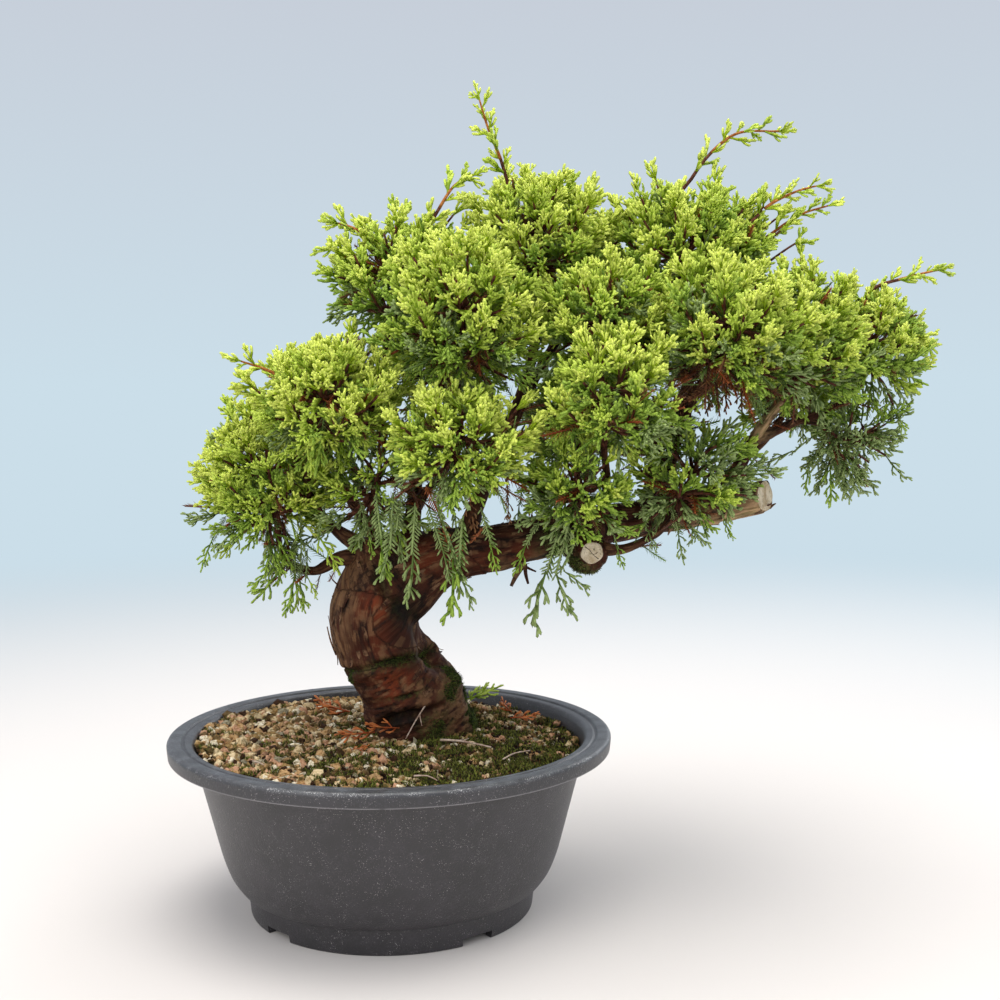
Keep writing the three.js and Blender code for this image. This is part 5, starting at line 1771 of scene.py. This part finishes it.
# Places that each twig runs through and its thickness, in mm
FALLEN_TWIGS = (
    (((17.5, -10, 103), (12, -12.5, 95), (7, -16, 87)), 0.8), (((14, -12, 98), (15, -15, 93)), 0.6),
    (((24, -18, 86.5), (32, -21, 86.8), (40, -25, 86.3), (48, -30, 85.5)), 1.3),
    (((34, -22, 86.5), (38, -14, 86)), 0.8), (((-64, -50, 87), (-60, -56, 87.6), (-56, -60, 86.6)), 0.9),
    (((10, -78, 86), (16, -82, 87), (20, -86, 86)), 0.9),
    (((52, -52, 85.5), (58, -44, 86), (66, -38, 85.5)), 0.9), (((-30, -60, 86.5), (-26, -66, 87)), 0.8),
)

FALLEN_FACING = np.array((0.1, -0.6, 1.0))
litter_random = np.random.default_rng(41)
fallen = []
for start, end, tone in FALLEN_SPRAYS:
    start, end = np.array(start, float), np.array(end, float)
    number = litter_random.choice(PATTERN_NUMBERS["open"])
    length = np.linalg.norm(end - start)
    fallen.append((number, TONE_NUMBER[tone], length, start, end - start, FALLEN_FACING))
make_leaves("fallen_sprays", fallen)
fallen_tubes = [twig_tube(np.array(places, float), width, 0.6 * width) for places, width in FALLEN_TWIGS]
pale_twig = twig_material("pale_twig", "9A7E6C", "CDB8A6")
fallen_twigs = make_piece("fallen_twigs", *merged(fallen_tubes), [pale_twig])
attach(fallen_twigs, "root")

# The scene's floor, light and camera
# A pale floor under a soft sky of studio light, with the main light overhead, and the camera where the
# photo was taken.

# Degrees that the camera looks down, to the right and leans, and its lens in mm
CAMERA_PITCH = 4.8
CAMERA_YAW = 4.57
CAMERA_ROLL = 0.2
CAMERA_LENS = 50.4
SKY_LOW = "CBDEE9"
SKY_HIGH = "C6CCD7"
# Where the floor starts to fade into the sky and is gone, in metres from the pot
FLOOR_FADE = (0.2, 1.6)

bpy.ops.mesh.primitive_plane_add(size=12)
floor = bpy.context.object
floor.name = "floor"
floor_material, floor_tree, floor_shader, floor_place = new_material("floor", roughness=1.0, specular=0.0)
from_pot = add_node(floor_tree, "ShaderNodeVectorMath", {0: floor_place}, operation="LENGTH")
far = add_node(floor_tree, "ShaderNodeMapRange", {
    "Value": from_pot.outputs["Value"], "From Min": FLOOR_FADE[0], "From Max": FLOOR_FADE[1],
}, interpolation_type="SMOOTHSTEP").outputs[0]
floor_base = mix_colour(floor_tree, far, colour("DAD4CF"), (0, 0, 0, 1))
horizon = mix_colour(floor_tree, far, (0, 0, 0, 1), colour(SKY_LOW))
floor_tree.links.new(horizon, floor_shader.inputs["Emission Color"])
floor_shader.inputs["Emission Strength"].default_value = 1.0
finish_material(floor_tree, floor_shader, floor_base)
floor.data.materials.append(floor_material)


def soft_light(name, place, size, power, tint):
    """A square light aimed at the crown"""
    light = bpy.data.lights.new(name, "AREA")
    light.size = size
    light.energy = power
    light.color = tint
    lamp = bpy.data.objects.new(name, light)
    lamp.location = place
    lamp.rotation_euler = (Vector((0.08, 0, 0.22)) - Vector(place)).to_track_quat("-Z", "Y").to_euler()
    bpy.context.scene.collection.objects.link(lamp)


soft_light("overhead", (0.1, -0.1, 1.5), 1.3, 22, (1.0, 0.98, 0.94))
soft_light("front_left", (-1.1, -1.2, 0.9), 1.3, 14, (1.0, 0.98, 0.95))
soft_light("front_right", (1.2, -1.2, 0.8), 1.3, 6, (1.0, 0.98, 0.95))
soft_light("back_right", (1.0, 1.0, 0.9), 1.0, 7, (0.94, 0.97, 1.0))

world = bpy.data.worlds.new("sky")
world.use_nodes = True
sky = world.node_tree
sight = add_node(sky, "ShaderNodeTexCoord").outputs["Generated"]
direction = add_node(sky, "ShaderNodeSeparateXYZ", {0: sight})
height = add_node(sky, "ShaderNodeMapRange", {
    "Value": direction.outputs[2], "From Min": 0.0, "From Max": 0.3,
})
sky_colour = mix_colour(sky, height.outputs[0], colour(SKY_LOW), colour(SKY_HIGH))
sky.links.new(sky_colour, sky.nodes["Background"].inputs["Color"])
bpy.context.scene.world = world

camera = bpy.data.objects.new("camera", bpy.data.cameras.new("camera"))
camera.data.lens = CAMERA_LENS
camera.data.clip_start = 0.01
camera.location = SIGHT_START * MM
camera.rotation_euler = [math.radians(a) for a in (90 - CAMERA_PITCH, CAMERA_ROLL, -CAMERA_YAW)]
bpy.context.scene.collection.objects.link(camera)
bpy.context.scene.camera = camera
bpy.context.scene.view_settings.view_transform = "Standard"
